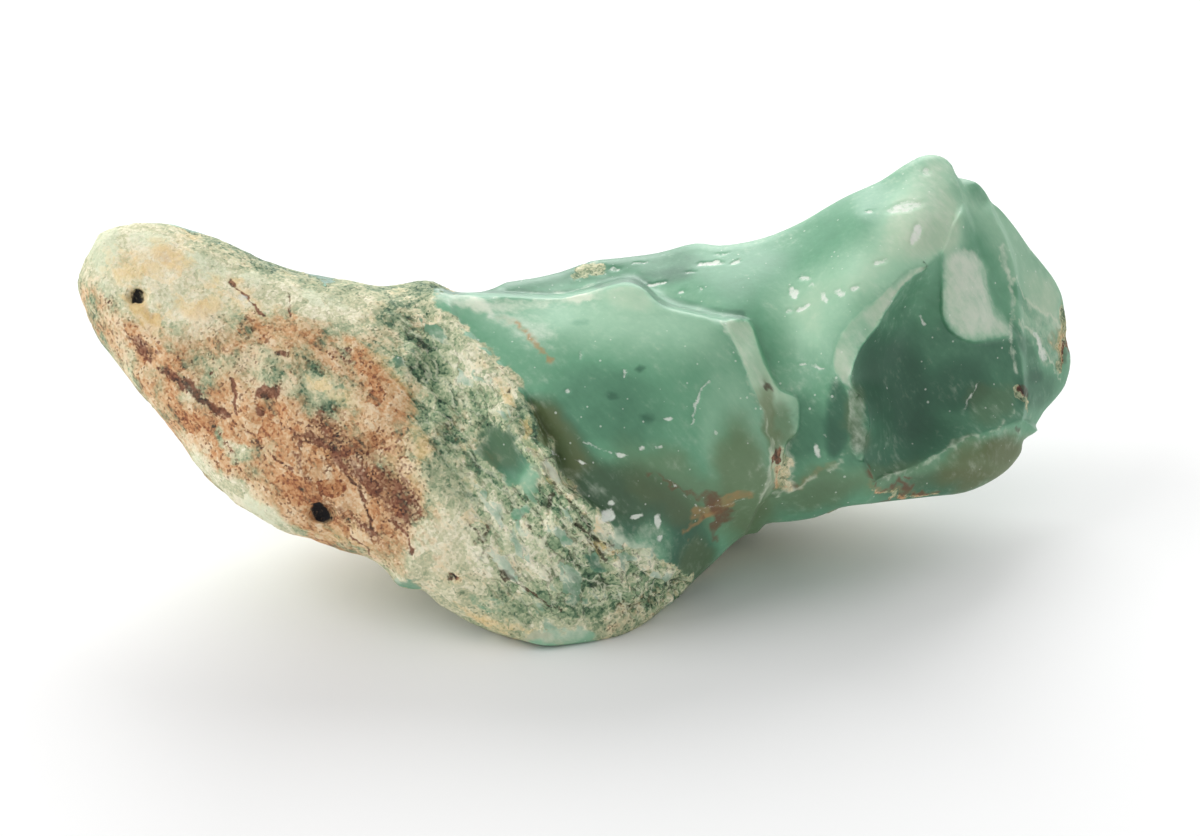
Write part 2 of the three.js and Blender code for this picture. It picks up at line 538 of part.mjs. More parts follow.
// How far a place lies outside the stone, or inside it where the gap is below zero.
function gapAt(place) {
  toRest(place, rest);
  const side = sideChart(place.x, place.y);
  const rim = rimChart(place.x, place.y);
  const front = (place.z - frontChart(place.x, place.y)) * steepChart(place.x, place.y);
  let back = -Infinity;
  for (const flat of breaks) {
    back = roundMax(back, offset.copy(rest).sub(flat.at).dot(flat.facing), BREAK_ROUNDING);
  }
  back += BACK_LUMPS * lumps(rest.x, rest.y, rest.z, BACK_LUMP_SPACING);
  for (const scar of scars) {
    back = roundMax(back, scar.radius - offset.copy(rest).sub(scar.at).length(), SCAR_ROUNDING);
  }
  // The rim keeps its thickness whatever the breaks behind it take away.
  const skin = (rim - RIM_THICKNESS + RIM_SLOPE * Math.min(side, 0) - place.z) * RIM_LEAN;
  back = roundMin(back, skin, BREAK_ROUNDING);
  const soft = 1 - smoothstep(place.x, SOFT_TO, SHARP_FROM);
  const rounding = GLASS_ROUNDING + (RIND_ROUNDING - GLASS_ROUNDING) * soft;
  const solid = roundMax(roundMax(side, front, rounding), back, GLASS_ROUNDING);
  return Math.max(solid, -rest.z);
}

// ---- The skin ----------------------------------------------------------------------------------

const probe = new THREE.Vector3();
const rise = new THREE.Vector3();

function gradientAt(place, target) {
  for (const axis of ["x", "y", "z"]) {
    probe.copy(place);
    probe[axis] += PROBE;
    const ahead = gapAt(probe);
    probe[axis] -= 2 * PROBE;
    target[axis] = (ahead - gapAt(probe)) / (2 * PROBE);
  }
  return target;
}

// Moves a place straight onto the stone's surface.
function settle(place, rounds) {
  for (let i = 0; i < rounds; i++) {
    const gap = gapAt(place);
    gradientAt(place, rise);
    const steep = Math.max(rise.lengthSq(), LEAST_SLOPE);
    place.addScaledVector(rise, -clamp(gap, -LONGEST_MOVE, LONGEST_MOVE) / steep);
  }
}

const heart = new THREE.CatmullRomCurve3(
  HEART.map(([along, up, out]) => new THREE.Vector3(along, up, out)),
  false,
  "centripetal",
);

// Throws a ball's point out from the heart line until it meets the surface.
function throwOut(ballPoint) {
  const start = heart.getPointAt(clamp(0.5 + 0.5 * ballPoint.x, 0, 1));
  const way = new THREE.Vector3(ballPoint.x ** 3, ballPoint.y, ballPoint.z).normalize();
  const place = new THREE.Vector3();
  let near = 0;
  let far = THROW_STEP;
  while (far < THROW_LIMIT && gapAt(place.copy(start).addScaledVector(way, far)) < 0) {
    near = far;
    far += THROW_STEP;
  }
  for (let i = 0; i < THROW_HALVINGS; i++) {
    const middle = (near + far) / 2;
    if (gapAt(place.copy(start).addScaledVector(way, middle)) < 0) near = middle;
    else far = middle;
  }
  return place;
}

// The sharp lines of the front and the glassy part of its rim, as places close together.
const creases = CREASES.flatMap((edge) => {
  const points = edge.map(([along, up]) => new THREE.Vector3(along, up, 0));
  const curve = new THREE.CatmullRomCurve3(points, false, "centripetal");
  return curve.getPoints(points.length * 2 * LINE_STEPS);
});
creases.push(...outlineLine.filter((point) => point.x > SHARP_FROM));

const creaseChart = makeChart((x, y) => {
  const away = creases.map((point) => Math.hypot(point.x - x, point.y - y));
  return Math.min(...away);
});

// How closely the corners are wanted at a place: closer beside the sharp lines of the front.
function crowding(place) {
  if (Math.abs(place.z - frontChart(place.x, place.y)) > FRONT_SKIN) return BACK_CROWDING;
  return 1 + CREASE_CROWDING * Math.exp(-((creaseChart(place.x, place.y) / CREASE_REACH) ** 2));
}

function crossOf(a, b, c, target) {
  rise.subVectors(b, a);
  return target.subVectors(c, a).crossVectors(rise, target);
}

// Calls visit(x, y, c, d, turn) for each edge x-y with the far corners c and d of its two triangles.
// turn() lays the edge from c to d instead.
function eachEdge(triangles, count, visit) {
  const edges = new Map();
  const keyOf = (a, b) => Math.min(a, b) * count + Math.max(a, b);
  triangles.forEach((corner, i) => {
    const next = triangles[i % 3 === 2 ? i - 2 : i + 1];
    const key = keyOf(corner, next);
    if (!edges.has(key)) edges.set(key, []);
    edges.get(key).push(i);
  });
  const touched = new Set();
  for (const [i, j] of [...edges.values()]) {
    const [first, second] = [i - (i % 3), j - (j % 3)];
    if (touched.has(first) || touched.has(second)) continue;
    const [x, y] = [triangles[i], triangles[j]];
    const c = triangles[first + ((i + 2) % 3)];
    const d = triangles[second + ((j + 2) % 3)];
    if (edges.has(keyOf(c, d))) continue;
    visit(x, y, c, d, () => {
      triangles.splice(first, 3, x, d, c);
      triangles.splice(second, 3, d, y, c);
      edges.set(keyOf(c, d), [first, second]);
      touched.add(first).add(second);
    });
  }
}

const [one, two] = [new THREE.Vector3(), new THREE.Vector3()];

// The bend between triangles a-b-c and b-a-d, in radians, or a full turn if one of them is a sliver.
function bendOf(a, b, c, d) {
  crossOf(a, b, c, one);
  crossOf(b, a, d, two);
  return Math.min(one.length(), two.length()) < SLIVER ? 2 * Math.PI : one.angleTo(two);
}

// Turns the shared edge of two triangles where that makes them less thin.
function turnEdges(corners, triangles) {
  const angle = (tip, a, b) => one.subVectors(a, tip).angleTo(two.subVectors(b, tip));
  eachEdge(triangles, corners.length, (x, y, c, d, turn) => {
    const [px, py, pc, pd] = [corners[x], corners[y], corners[c], corners[d]];
    if (angle(pc, px, py) + angle(pd, px, py) < Math.PI * SLACK) return;
    if (bendOf(px, py, pc, pd) > radians(MOST_BEND)) return;
    if (bendOf(pd, pc, px, py) > radians(MOST_BEND)) return;
    turn();
  });
}

// Turns an edge that cuts across a sharp line where the other way round lies closer to the surface.
function fitEdges(corners, triangles) {
  const middle = new THREE.Vector3();
  const missAt = (a, b) => Math.abs(gapAt(middle.copy(a).add(b).multiplyScalar(0.5)));
  eachEdge(triangles, corners.length, (x, y, c, d, turn) => {
    const [px, py, pc, pd] = [corners[x], corners[y], corners[c], corners[d]];
    if (bendOf(px, py, pc, pd) < radians(LEAST_BEND)) return;
    if (bendOf(pd, pc, px, py) > radians(FOLD)) return;
    if (missAt(pc, pd) + MISS_EASE < missAt(px, py)) turn();
  });
}

// Moves each corner to the middle of the triangles round it, and back onto the surface.
function evenOut(corners, triangles) {
  const middles = corners.map(() => new THREE.Vector3());
  const totals = corners.map(() => 0);
  const middle = new THREE.Vector3();
  const normal = new THREE.Vector3();
  for (let i = 0; i < triangles.length; i += 3) {
    const trio = triangles.slice(i, i + 3);
    const [a, b, c] = trio.map((corner) => corners[corner]);
    middle.copy(a).add(b).add(c).divideScalar(3);
    const weight = crossOf(a, b, c, normal).length() * crowding(middle) ** 2;
    for (const corner of trio) {
      middles[corner].addScaledVector(middle, weight);
      totals[corner] += weight;
    }
  }
  corners.forEach((corner, i) => {
    const move = middles[i].divideScalar(totals[i]).sub(corner);
    gradientAt(corner, normal).normalize();
    move.addScaledVector(normal, -move.dot(normal));
    corner.addScaledVector(move, EVEN_STEP);
    settle(corner, 1);
  });
}

// Moves each corner to where the surface planes of the triangles round it meet, which lays corners
// along every sharp line, where that folds no triangle.
function sharpen(corners, triangles) {
  const around = corners.map(() => []);
  for (let i = 0; i < triangles.length; i += 3) {
    const [a, b, c] = triangles.slice(i, i + 3);
    const middle = corners[a].clone().add(corners[b]).add(corners[c]).divideScalar(3);
    settle(middle, SETTLE_ROUNDS);
    const facing = gradientAt(middle, new THREE.Vector3()).normalize();
    [a, b, c].forEach((corner) => around[corner].push({ middle, facing, first: i }));
  }
  corners.forEach((corner, index) => {
    const rows = [0, 1, 2].map((r) => [0, 1, 2, 3].map((c) => (r === c ? SHARPEN_EASE : 0)));
    for (const { middle, facing } of around[index]) {
      const way = facing.toArray();
      const away = one.subVectors(middle, corner).dot(facing);
      way.forEach((r, i) => [...way, away].forEach((c, j) => (rows[i][j] += r * c)));
    }
    const move = new THREE.Vector3(...solve(rows)).clampLength(0, SHARPEN_REACH);
    const crossAt = ({ first }) => {
      const [a, b, c] = triangles.slice(first, first + 3).map((i) => corners[i]);
      return crossOf(a, b, c, new THREE.Vector3());
    };
    const before = around[index].map(crossAt);
    corner.add(move);
    const folds = around[index].some((triangle, i) => {
      const now = crossAt(triangle);
      return now.length() < SLIVER || now.angleTo(before[i]) > radians(FOLD);
    });
    if (folds) corner.sub(move);
  });
}

function buildStone() {
  const ball = new THREE.IcosahedronGeometry(1, SPLIT);
  ball.deleteAttribute("normal");
  ball.deleteAttribute("uv");
  const skin = mergeVertices(ball, 1e-4);
  const triangles = [...skin.index.array];
  const seeds = skin.getAttribute("position");
  const corners = [];
  for (let i = 0; i < seeds.count; i++) {
    corners.push(throwOut(new THREE.Vector3().fromBufferAttribute(seeds, i)));
  }
  for (let round = 0; round < EVEN_ROUNDS; round++) {
    turnEdges(corners, triangles);
    evenOut(corners, triangles);
  }
  for (let round = 0; round < SHARPEN_ROUNDS; round++) {
    sharpen(corners, triangles);
    fitEdges(corners, triangles);
  }
  corners.forEach((corner, i) => {
    toRest(corner, rest);
    if (rest.z < FLAT_WITHIN) rest.z = 0;
    seeds.setXYZ(i, rest.x - REST_SPOT[0], rest.y - REST_SPOT[1], rest.z);
  });
  skin.setIndex(triangles);
  skin.computeVertexNormals();
  return skin;
}

const chalcedony = new THREE.Mesh(
  buildStone(),
  new THREE.MeshStandardMaterial({ color: 0x7fae93, roughness: 0.45, metalness: 0 }),
);
chalcedony.name = "chalcedony";

const stone = new THREE.Group();
stone.add(chalcedony);

export default stone;
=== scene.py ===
"""Rough chrome chalcedony: one broken piece of green chalcedony with a rusty rind at its blunt end.

The stone keeps the form of its solid. A finer copy of that solid's mesh is laid on the same named places,
and takes on the grain of the rind, the ripples of the glass and the chips of the edges. One material then
gives the waxy green glass, the granular rind, the rust and the bruises, with some painted light and shade,
each from a mask on the mesh.

Places are in mm. On the broad front face they are [along, up] or [along, up, out]: along the face toward the
peaked end, up the face, and out in front of it. The resting stone's own X, Y and Z are the frame's.
"""

import math

import bmesh
import bpy
import numpy as np
from mathutils import Matrix, Vector


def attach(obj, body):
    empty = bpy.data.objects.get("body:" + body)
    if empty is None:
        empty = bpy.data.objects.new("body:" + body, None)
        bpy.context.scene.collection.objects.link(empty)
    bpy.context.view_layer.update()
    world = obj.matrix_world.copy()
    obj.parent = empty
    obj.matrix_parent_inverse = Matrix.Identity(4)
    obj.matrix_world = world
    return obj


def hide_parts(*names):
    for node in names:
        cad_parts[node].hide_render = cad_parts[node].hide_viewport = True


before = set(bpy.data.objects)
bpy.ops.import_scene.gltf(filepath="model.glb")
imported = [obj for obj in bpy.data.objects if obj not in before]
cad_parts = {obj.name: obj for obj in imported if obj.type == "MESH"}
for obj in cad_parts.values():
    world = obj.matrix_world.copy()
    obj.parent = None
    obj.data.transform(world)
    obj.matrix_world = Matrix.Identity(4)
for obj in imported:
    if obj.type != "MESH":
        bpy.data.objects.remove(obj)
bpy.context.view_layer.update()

# ---- Measures ------------------------------------------------------------------------------------

MM = 0.001  # metres in a millimetre
LEAN = 28  # degrees that the broad face leans back when the stone rests
APEX = 326  # the sides of the stone close in toward a point this far in front of it
FLOOR_DROP = 11.7  # the resting surface lies this far below the middle of the broad face
REST_SPOT = (1, -2.5)  # middle of the flat spot, from the middle of the broad face
CELL = 0.1  # spacing of the places at which the relief of the front is worked out
CHART_EDGES = (-41, -19, 37, 22)  # and what they cover: from along, from up, to along, to up
LINE_STEPS = 3  # straight steps between two places of a smooth line
PLATE_EASE = 0.01  # lets a thin plate ease a little off its places
RIM_THICKNESS = 0.8  # the outline's rim is at least this thick
RIM_SLOPE = 0.75  # and the stone thickens from it at least this fast
RIM_LEAN = 0.8  # gap per mm of depth behind the rim, because its slope leans
BREAK_ROUNDING = 2.4  # width over which two breaks round into each other
SCAR_ROUNDING = 1  # and over which a scar rounds into them
GLASS_ROUNDING = 0.5  # the same at a rim of glass
RIND_ROUNDING = 2.4  # and at a rim of rind
SHARP_FROM = -5  # rims are sharp from this far along
SOFT_TO = -13  # and fully rounded up to this far along
LEDGE_TURN = 41  # degrees: the rind's ledges run across this turn
LEDGE_SPACING = 3.2  # and this far apart
LEDGE_STRETCH = 3  # ledges are this much longer than they are wide
LEDGE_SHARE = 0.5  # share of ledges in the solid's own relief of the rind, and the rest is lumps
LUMP_SPACING = 4.5
LUMP_WARP = 1.5  # how far the rows of lumps are pushed out of line
BACK_LUMPS = 0.35  # height of the lumps on the back
BACK_LUMP_SPACING = 9

SLOPE_STEP = 0.08  # reach of the slope's measuring
LEAST_SLOPE = 0.2  # a place settles as if the gap's squared slope were at least this
LONGEST_MOVE = 0.5  # and by at most this much in one round
SETTLE_ROUNDS = 2
SHARPEN_EASE = 0.03  # pull that keeps a corner where it is
SHARPEN_REACH = 0.12  # and the furthest that it moves
UNFOLD_ROUNDS = 2
FOLD = 0.2  # a triangle keeps at least this share of its area, facing the same way
SHARPEN_ROUNDS = 2
JOIN_WITHIN = 0.001  # corners this close are one
CUTS = 2  # how often every edge of the solid's mesh is halved
FINE_MARKS = ("brown", "bruise")  # their small marks need a finer mesh
FINE_REACH = 1.5  # where they are smaller than this
FINE_WIDTH = 0.25  # or narrower than this
FINE_SIDES = 0.2  # the mesh is finer this far to both sides of a narrow streak
FINE_MARGIN = 0.3  # and this far beyond every small mark
FINE_ABOVE = 0.3  # but only where the front stands this far over the rim
SHARP_ANGLE = 38  # degrees between two facets that meet in a sharp edge
# How far the border of each mask wavers: over about 2.2 mm, and over about 0.6 mm.
WAVER = {
    "rind": (0.7, 0.35),
    "rust": (1.4, 0.6),
    "brown": (0.35, 0.25),
    "ochre": (0.7, 0.4),
    "cream": (0.4, 0.3),
    "deep": (0.15, 0.05),
    "pale": (0.1, 0.05),
    "olive": (0.6, 0.2),
    "bruise": (0.02, 0.16),
    "ledge": (0.5, 0.3),
    "frost": (0.15, 0.1),
    "pit": (0, 0.3),
}
# Where two breaks meet at the top edge in a soft step: place on the face, and reach.
EASED = [((-11.2, 9.9), 1.9), ((-8.4, 9.6), 1.7)]
TOP_EDGE_EASE = 0.6  # how far the panel's top edge is eased, from its fifth place on
TOP_EDGE_REACH = (0.3, 0.9)  # fully within the first of these, and not at all beyond the second
EASE_ROUNDS = 30
EASE_MOVE = 0.7  # share of the way to the middle of its neighbours that a corner moves in one round

FRONT_FADE = (-4, -1.5)  # between these places, out from the rim, the front's marks fade in
WALL_FADE = (0.05, 0.25)  # and pale ones where the surface faces out by these shares
STREAK_FADE = (0.5, 1.6)  # a streak fades out between these shares of its half width
SPOT_FADE = (0.6, 1.3)  # and a spot between these of its half length and width
BLUNT_FADE = (-20, -6)  # behind, the blunt end's rind fades out between these X
UNDER_FADE = (2.5, 7)  # and the underside's between these heights
FADE_WAVER = 3  # with a border that wavers this far

# Heights of the relief.
COARSE_HEIGHT = 0.1  # uneven lumps of the rind
BLOCK_HEIGHT = 0.1  # its larger broken facets
CRUMB_HEIGHT = 0.04  # and its smaller ones
SPLINTER_HEIGHT = 0.05  # its splinters where it is whole
BROKEN_HEIGHT = 0.25  # and what they gain where it is broken
RIND_SINK = 0.06  # the rind lies lower by this, so that its grain stays within the solid
STRAND_HEIGHT = 0.5  # bundles of fibres in the splintered zone
RIPPLE_HEIGHTS = (0.012, 0.006)  # long and short ripples of the glass
BRUISE_DEPTH = 0.08
CRACK_DEPTH = 0.1  # brown cracks in the rind
PIT_DEPTH = 0.15
FLOOR_FADE = (0.05, 0.8)  # no relief up to the first height over the floor, and all of it from the second
EDGE_AND_DENT_ROUNDS = 3  # rounds of smoothing that tell an edge from what lies round it
EDGE_AND_DENT_HEIGHT = 0.16  # an edge is fully worn pale where it stands out by half of this, and a dent fully dark as painted shade where it sinks in by as much

# ---- The front's sharp lines and places, as in the solid -----------------------------------------

GREEN_EDGE = [
    (-11.2, 9.1, 3), (-10.7, 7.2, 4.6), (-9.4, 5.6, 5.9), (-7.6, 3.8, 7.2), (-6.1, 2.2, 8.1),
    (-5.3, 0.7, 8.6), (-4.3, -1.3, 9), (-3.4, -3, 9.3), (-2.9, -4.8, 9.4), (-1.4, -5.9, 9.2),
    (0, -6.8, 8.8), (1.6, -7.2, 8.2), (3.2, -7.5, 7.6), (4.2, -8.8, 6.6), (5.4, -10.4, 5),
    (6.7, -12.2, 1.9),
]
PANEL_TOP = [
    (-11.2, 9.1, 2.9), (-8.7, 9, 2.7), (-5.8, 8.8, 2.4), (-2.9, 8.7, 2.3), (-0.7, 9.2, 2.4),
    (0.9, 9.7, 2.5), (2.2, 9.9, 2.6), (3.3, 9.3, 3), (4.3, 8.3, 3.7), (5.4, 7.9, 4), (7.2, 7.5, 4.3),
    (9.1, 7, 4.5),
]
PANEL_RIGHT = [
    (9.1, 7, 4.5), (10, 4.6, 5.4), (11.2, 2, 6), (12, -0.5, 6), (12.4, -2.7, 5.8), (12.2, -4.6, 5.2),
    (11.4, -6.3, 4.2), (10.5, -8.3, 1.4),
]
FACET_TOP = [(11.9, -5.9, 3), (14.5, -5, 3.3), (16.7, -4.1, 3.4), (19, -3.1, 3.8)]
BLADE = [
    (24.8, 12.2, -1.7), (23.6, 10.9, 0.2), (22.1, 9.8, 1.7), (21.2, 8.6, 2.7), (20.1, 6.7, 3.8),
    (19, 5.3, 4.6), (18.3, 3.8, 5), (18.1, 2.5, 5.1), (18.7, 1.7, 5.1), (19.3, 0.8, 5),
    (19.5, -0.5, 4.9), (19.2, -1.6, 4.6), (19, -3.1, 3.8),
]
LIP_TOP = [
    (19.9, -4.6, 2.9), (22.5, -3.6, 0.4), (24.3, -2.7, -0.2), (26.1, -1.8, -1), (27.9, -1, -2),
    (29.3, -0.6, -3), (30.6, -0.1, -4.4),
]
FROST_EDGE = [
    (24.9, 9.3, -1.6), (25, 7.2, -1.9), (25.7, 6.2, -2.4), (27.2, 5.6, -3.2), (29, 5.8, -4.6),
    (30, 6, -5.2),
]
LEDGE_NEAR = [
    (25.8, 17.4, -7.4), (26.2, 15.8, -5.2), (27.2, 13, -4.5), (27.8, 11.3, -4.5), (28, 9.6, -4.4),
    (28.6, 8, -4.8), (30, 6, -5.2),
]
LEDGE_FAR = [
    (27.7, 17.2, -8.2), (28.3, 15.1, -7.8), (29.2, 13.3, -7.2), (29.9, 11.3, -6.9), (30.3, 8.6, -6.8),
    (30.6, 5.3, -6.6), (30.7, 2.4, -6.4), (30.7, 0.9, -6),
]
RIND = [
    (-37, 9.3, 2.9), (-35.9, 12.9, 2.2), (-31.9, 13.5, 2), (-26.1, 11.6, 2.6), (-21, 10, 2.8),
    (-16.3, 9.3, 2.8), (-34.1, 8.6, 4.4), (-30.4, 10, 4), (-26.8, 6.4, 5.6), (-21.7, 7.1, 5.4),
    (-16.7, 6.4, 5.2), (-32.6, 3.5, 4.9), (-25.4, 1.3, 7), (-19.6, 1.3, 7.6), (-14.5, 1.3, 7.4),
    (-29, -1.6, 5.6), (-21.7, -3.8, 8.2), (-14.5, -4.5, 8.8), (-24.6, -6.7, 6.6), (-18.1, -8.5, 7.6),
    (-13, -9.9, 8.6), (-35.5, 5.7, 3.6), (-13.4, 3.8, 6.3), (-11.8, -2.3, 8.7), (-13.8, 6.7, 4.5),
    (-12.2, 3.3, 5.9), (-10.7, -0.1, 7.3), (-10.1, -4.5, 8.7), (-7.2, 1.3, 8), (-6.2, -0.5, 8.9),
    (-7.6, -1.7, 7.9), (-6.2, -3.8, 8.5), (-4.7, -5.8, 9), (-4, -4.1, 9.7), (-9.4, -8.8, 9.1),
    (-2.9, -8.8, 9.3), (-5.8, -11.7, 8.4), (-9.4, -12.5, 7.9), (-2.9, -13.6, 7.4), (0, -9.6, 8.4),
    (2.9, -10.3, 6.7), (1.4, -12.8, 6.1), (-9.4, -14.8, 6.6), (-4, -16.4, 6.5), (0, -15.9, 5.4),
    (3.6, -14.3, 3.7), (5.8, -12.5, 2.2), (-14.5, -12, 8), (-21.7, -8.1, 7),
]
PANEL = [
    (-7.2, 6.4, 4.9), (-2.9, 6.4, 5.2), (-2.9, 2.8, 7.5), (-4, 1.2, 8.3), (-2.8, 0.4, 8.5),
    (-1.7, -0.9, 8.8), (-0.6, -2.3, 8.8), (-6.1, 2, 7.7), (-5.1, 0.6, 7.5), (-3.6, -1.4, 7.8),
    (-2.5, -3, 8.1), (-1.4, -4.9, 8.3), (0.7, -7, 8.1), (3.3, -7.6, 7.5), (4.1, -9.2, 6.4),
    (5.4, -10.7, 4.7), (6.7, -12.3, 1.8), (1.4, 5.7, 6.2), (1.4, 1.3, 8.5), (1.8, -3, 8.7),
    (6.5, 4.9, 6.5), (6.5, 1.3, 7.7), (6.5, -3, 7.7), (6.5, -7.4, 5.7), (8.4, -10, 1.6), (10.1, -3, 6.9),
    (9.8, 1.3, 6.8),
]
SADDLE = [
    (-7.2, 9.9, -5.5), (-2.9, 10.4, -6.8), (0, 11.3, -7.2), (4.3, 11.9, -6.8), (7.2, 12.6, -6.5),
    (11.6, 13, -6), (14.5, 14.1, -6), (17.4, 15.8, -6), (20.3, 17.2, -6.2), (23.6, 19, -6.6),
    (25, 18.8, -7.2), (-8.7, 9.1, -4.5), (-2.9, 8.8, -4.6), (2.2, 9.8, -4.6), (2.9, 10.7, -5.4),
    (7.2, 10.4, -3), (6.5, 8.1, -0.6), (9.1, 7, 1.6), (11.6, 10.7, -2.4), (11.6, 7.8, 0.8),
    (14.5, 10.7, -1.6), (14.5, 7.8, 1), (14.5, 4.9, 2.6), (13.8, 2, 3.4), (13.8, -0.9, 3.7),
    (13.8, -3.4, 3.5), (16.7, 8.6, 2), (15.9, 5.7, 3.4), (17, 3.8, 4.6), (17.2, 1.3, 4.6),
    (17, -1.6, 4.3), (18.8, 12.2, 0), (18.8, 14.7, -2.6), (21, 13.5, -0.8), (20.3, 10.7, 1.5),
    (18.1, 9.6, 2.4), (22.1, 15.3, -2.4), (23, 13.5, -0.9), (24.6, 14.7, -2.6), (25.4, 16.9, -5.2),
    (24.3, 12.2, -1.4), (26.2, 15.8, -5), (25.5, 14, -2.9),
]
FACET = [
    (19.9, -4.6, 2.9), (19.3, -6.2, 1.6), (16.7, -5.9, 2.2), (13.8, -7.2, 0.8), (11.3, -8.1, -0.4),
    (15.9, -7, 0.9),
]
HOLLOW = [
    (19.9, -4.6, 2.9), (21.4, 7.8, 0.4), (20.4, 5.7, 1.2), (19.9, 2.4, 1.4), (20.7, -0.1, 0.9),
    (20.4, -2.7, 1.4), (23.2, 6.4, -1.7), (23.6, 2.8, -2.3), (24.3, -0.1, -2.2), (22.8, 9.3, -0.6),
    (28.3, 2.4, -4.2), (30.1, 2.4, -5.4), (30.7, 0.9, -5.4), (26.1, 1.3, -3), (22.1, -1.6, -0.6),
]
FROST = [(24.8, 12.2, -1.5), (25.5, 14, -2.7), (26.2, 14.7, -3.6), (26.4, 9.3, -2.2), (27.9, 7.8, -3.4)]
LIP = [
    (19.3, -6.2, 1.4), (21.7, -5.9, -0.6), (24.6, -5.6, -1.8), (26.8, -5.1, -2.8), (28.6, -4.3, -3.8),
    (30.1, -2.7, -5.2), (25.4, -4.1, -0.9), (28.3, -2.7, -2.4),
]
STEP_NEAR = [(27.9, 15.8, -7.8), (27.9, 13.6, -5.6), (29.2, 9.6, -5.7), (29.7, 7.1, -5.8)]
STEP_FAR = [
    (29, 14.7, -8.6), (31, 12.2, -9.6), (32.6, 9.6, -10.3), (33.6, 7.1, -11), (33.9, 4.2, -11.2),
    (32.6, 1.3, -9.8), (31.9, 6.4, -8.6), (31.9, 2.8, -8.4), (31.5, -0.5, -9), (30.7, -0.9, -6.6),
]
RIND_OUT = [
    (7.6, -13.6), (4.3, -16.8), (-2.9, -19), (-12.3, -16.8), (-15.9, -13.9), (-22.5, -11.7),
    (-30.4, -6.7), (-39.1, 4.9), (-40.6, 9.3), (-39.1, 16.2), (-31.9, 16.9), (-21.7, 13.3),
    (-15.6, 11.8), (-11.6, 11.3),
]
PANEL_OUT = [(9.8, -10.3), (7.6, -13.6)]
SADDLE_TOP = [(25, 21.2), (7.2, 14.7), (-11.6, 11.3)]
SADDLE_RIGHT = [(25.5, 14), (26.2, 15.8), (25.8, 17.4)]
FACET_OUT = [
    (19.9, -4.6), (19.7, -5.4), (19.3, -6.2), (18.8, -8.1), (13.8, -9.6), (11, -10.3), (10.5, -8.3),
    (11.4, -6.3),
]
LIP_OUT = [(32.2, -1.6), (31.9, -3.8), (28.3, -7), (23.9, -7.8), (19, -8.1), (19.3, -6.2), (19.7, -5.4)]
FAR_OUT = [(30.6, -0.1), (32.2, -2.3), (36.2, 1.3), (36.2, 10), (31.2, 18)]
OUTLINE = [
    (-37.9, 9.3), (-37.7, 10.9), (-37.1, 12.4), (-36.2, 13.7), (-34.6, 14.2), (-31.9, 14.3), (-29, 13.5),
    (-26.1, 12.3), (-23.9, 11.3), (-21.7, 10.6), (-18.1, 10), (-15.6, 9.6), (-13.4, 9.9), (-12.2, 10.1),
    (-10.5, 9.6), (-8, 9.8), (-5.1, 10.1), (-2.9, 10.6), (-0.7, 11.4), (1.4, 11.6), (4.3, 12),
    (6.9, 12.7), (8.7, 12.5), (11.6, 13), (14.5, 14.2), (17.4, 15.9), (20.3, 17.2), (22.1, 18.4),
    (23.6, 19.1), (24.8, 19), (25.5, 18.3), (25.9, 17.5), (27.2, 17.1), (27.9, 16.4), (28.3, 15.8),
    (29.3, 15.2), (30.4, 13.7), (31.2, 12.5), (32.2, 11.3), (33.2, 9.9), (33.8, 8.2), (33.9, 6),
    (34.2, 4.1), (33.8, 2.3), (33, 1.3), (32.2, 0.4), (31.7, -0.9), (30.7, -1.6), (30.5, -2.5),
    (29.7, -3.6), (28.3, -4.6), (26.4, -5.4), (23.9, -5.7), (19.6, -6.2), (17.4, -6.5), (15.6, -7.2),
    (13.8, -7.5), (12, -7.7), (11.4, -8.3), (10.5, -8.5), (9.4, -9.3), (8.4, -10.3), (7.2, -11.4),
    (5.8, -12.7), (3.6, -14.6), (1.9, -15.6), (0, -16.1), (-2.2, -16.4), (-4, -16.5), (-5.8, -16.1),
    (-7.6, -15.6), (-9.4, -14.9), (-11.6, -13.6), (-12.8, -12.5), (-13.6, -12.4), (-14.5, -12.2),
    (-15.6, -11), (-17, -10.1), (-18.8, -9.6), (-21, -8.8), (-22.8, -8.4), (-24.6, -7.4), (-26.4, -6.2),
    (-29, -3.8), (-30.4, -1.7), (-32.6, 0.9), (-34.9, 3.8), (-36.5, 6),
]
RIM = [
    (-37.9, 9.3, 2), (-36.2, 13.7, 1.2), (-31.9, 14.3, 0.4), (-26.1, 12.3, 0.2), (-20.3, 10.3, 0),
    (-15.6, 9.6, 0.2), (-11.6, 9.8, 0.2), (-8, 9.8, -4.5), (-2.9, 10.6, -7.2), (1.4, 11.6, -7.6),
    (7.2, 12.7, -6.8), (14.5, 14.2, -6.2), (20.3, 17.2, -6.4), (23.9, 19.1, -6.8), (25.9, 17.5, -7.8),
    (29.3, 15.2, -8.6), (32.2, 11.3, -10.2), (33.8, 8.2, -11.2), (34.1, 4.2, -11.5), (32.2, 0.4, -9.6),
    (30.5, -2.3, -5.8), (28.3, -4.6, -4.6), (23.9, -5.7, -2.6), (19.6, -6.2, -0.6), (15.6, -7.2, -0.6),
    (12, -7.7, -2), (10.5, -8.5, -1.6), (8.4, -10.3, -0.2), (5.8, -12.7, 1.2), (1.9, -15.6, 4.2),
    (-4, -16.5, 6.2), (-9.4, -14.9, 6.2), (-14.5, -12.2, 6.6), (-18.8, -9.6, 6.4), (-24.6, -7.4, 5.8),
    (-29, -3.8, 4.6), (-32.6, 0.9, 3.6), (-36.5, 6, 2.6),
]
BEVEL_EDGE = [
    (10.7, 7, 2.4), (11.4, 5.3, 3.2), (12.2, 3.3, 3.7), (13, 2, 3.9), (14.2, 1.4, 3.9), (14.4, 0.4, 4),
    (14.2, -1, 4.1), (13.5, -1.7, 4.2), (13.2, -3.3, 4), (12.7, -4.9, 3.6), (11.9, -5.9, 3.2),
]
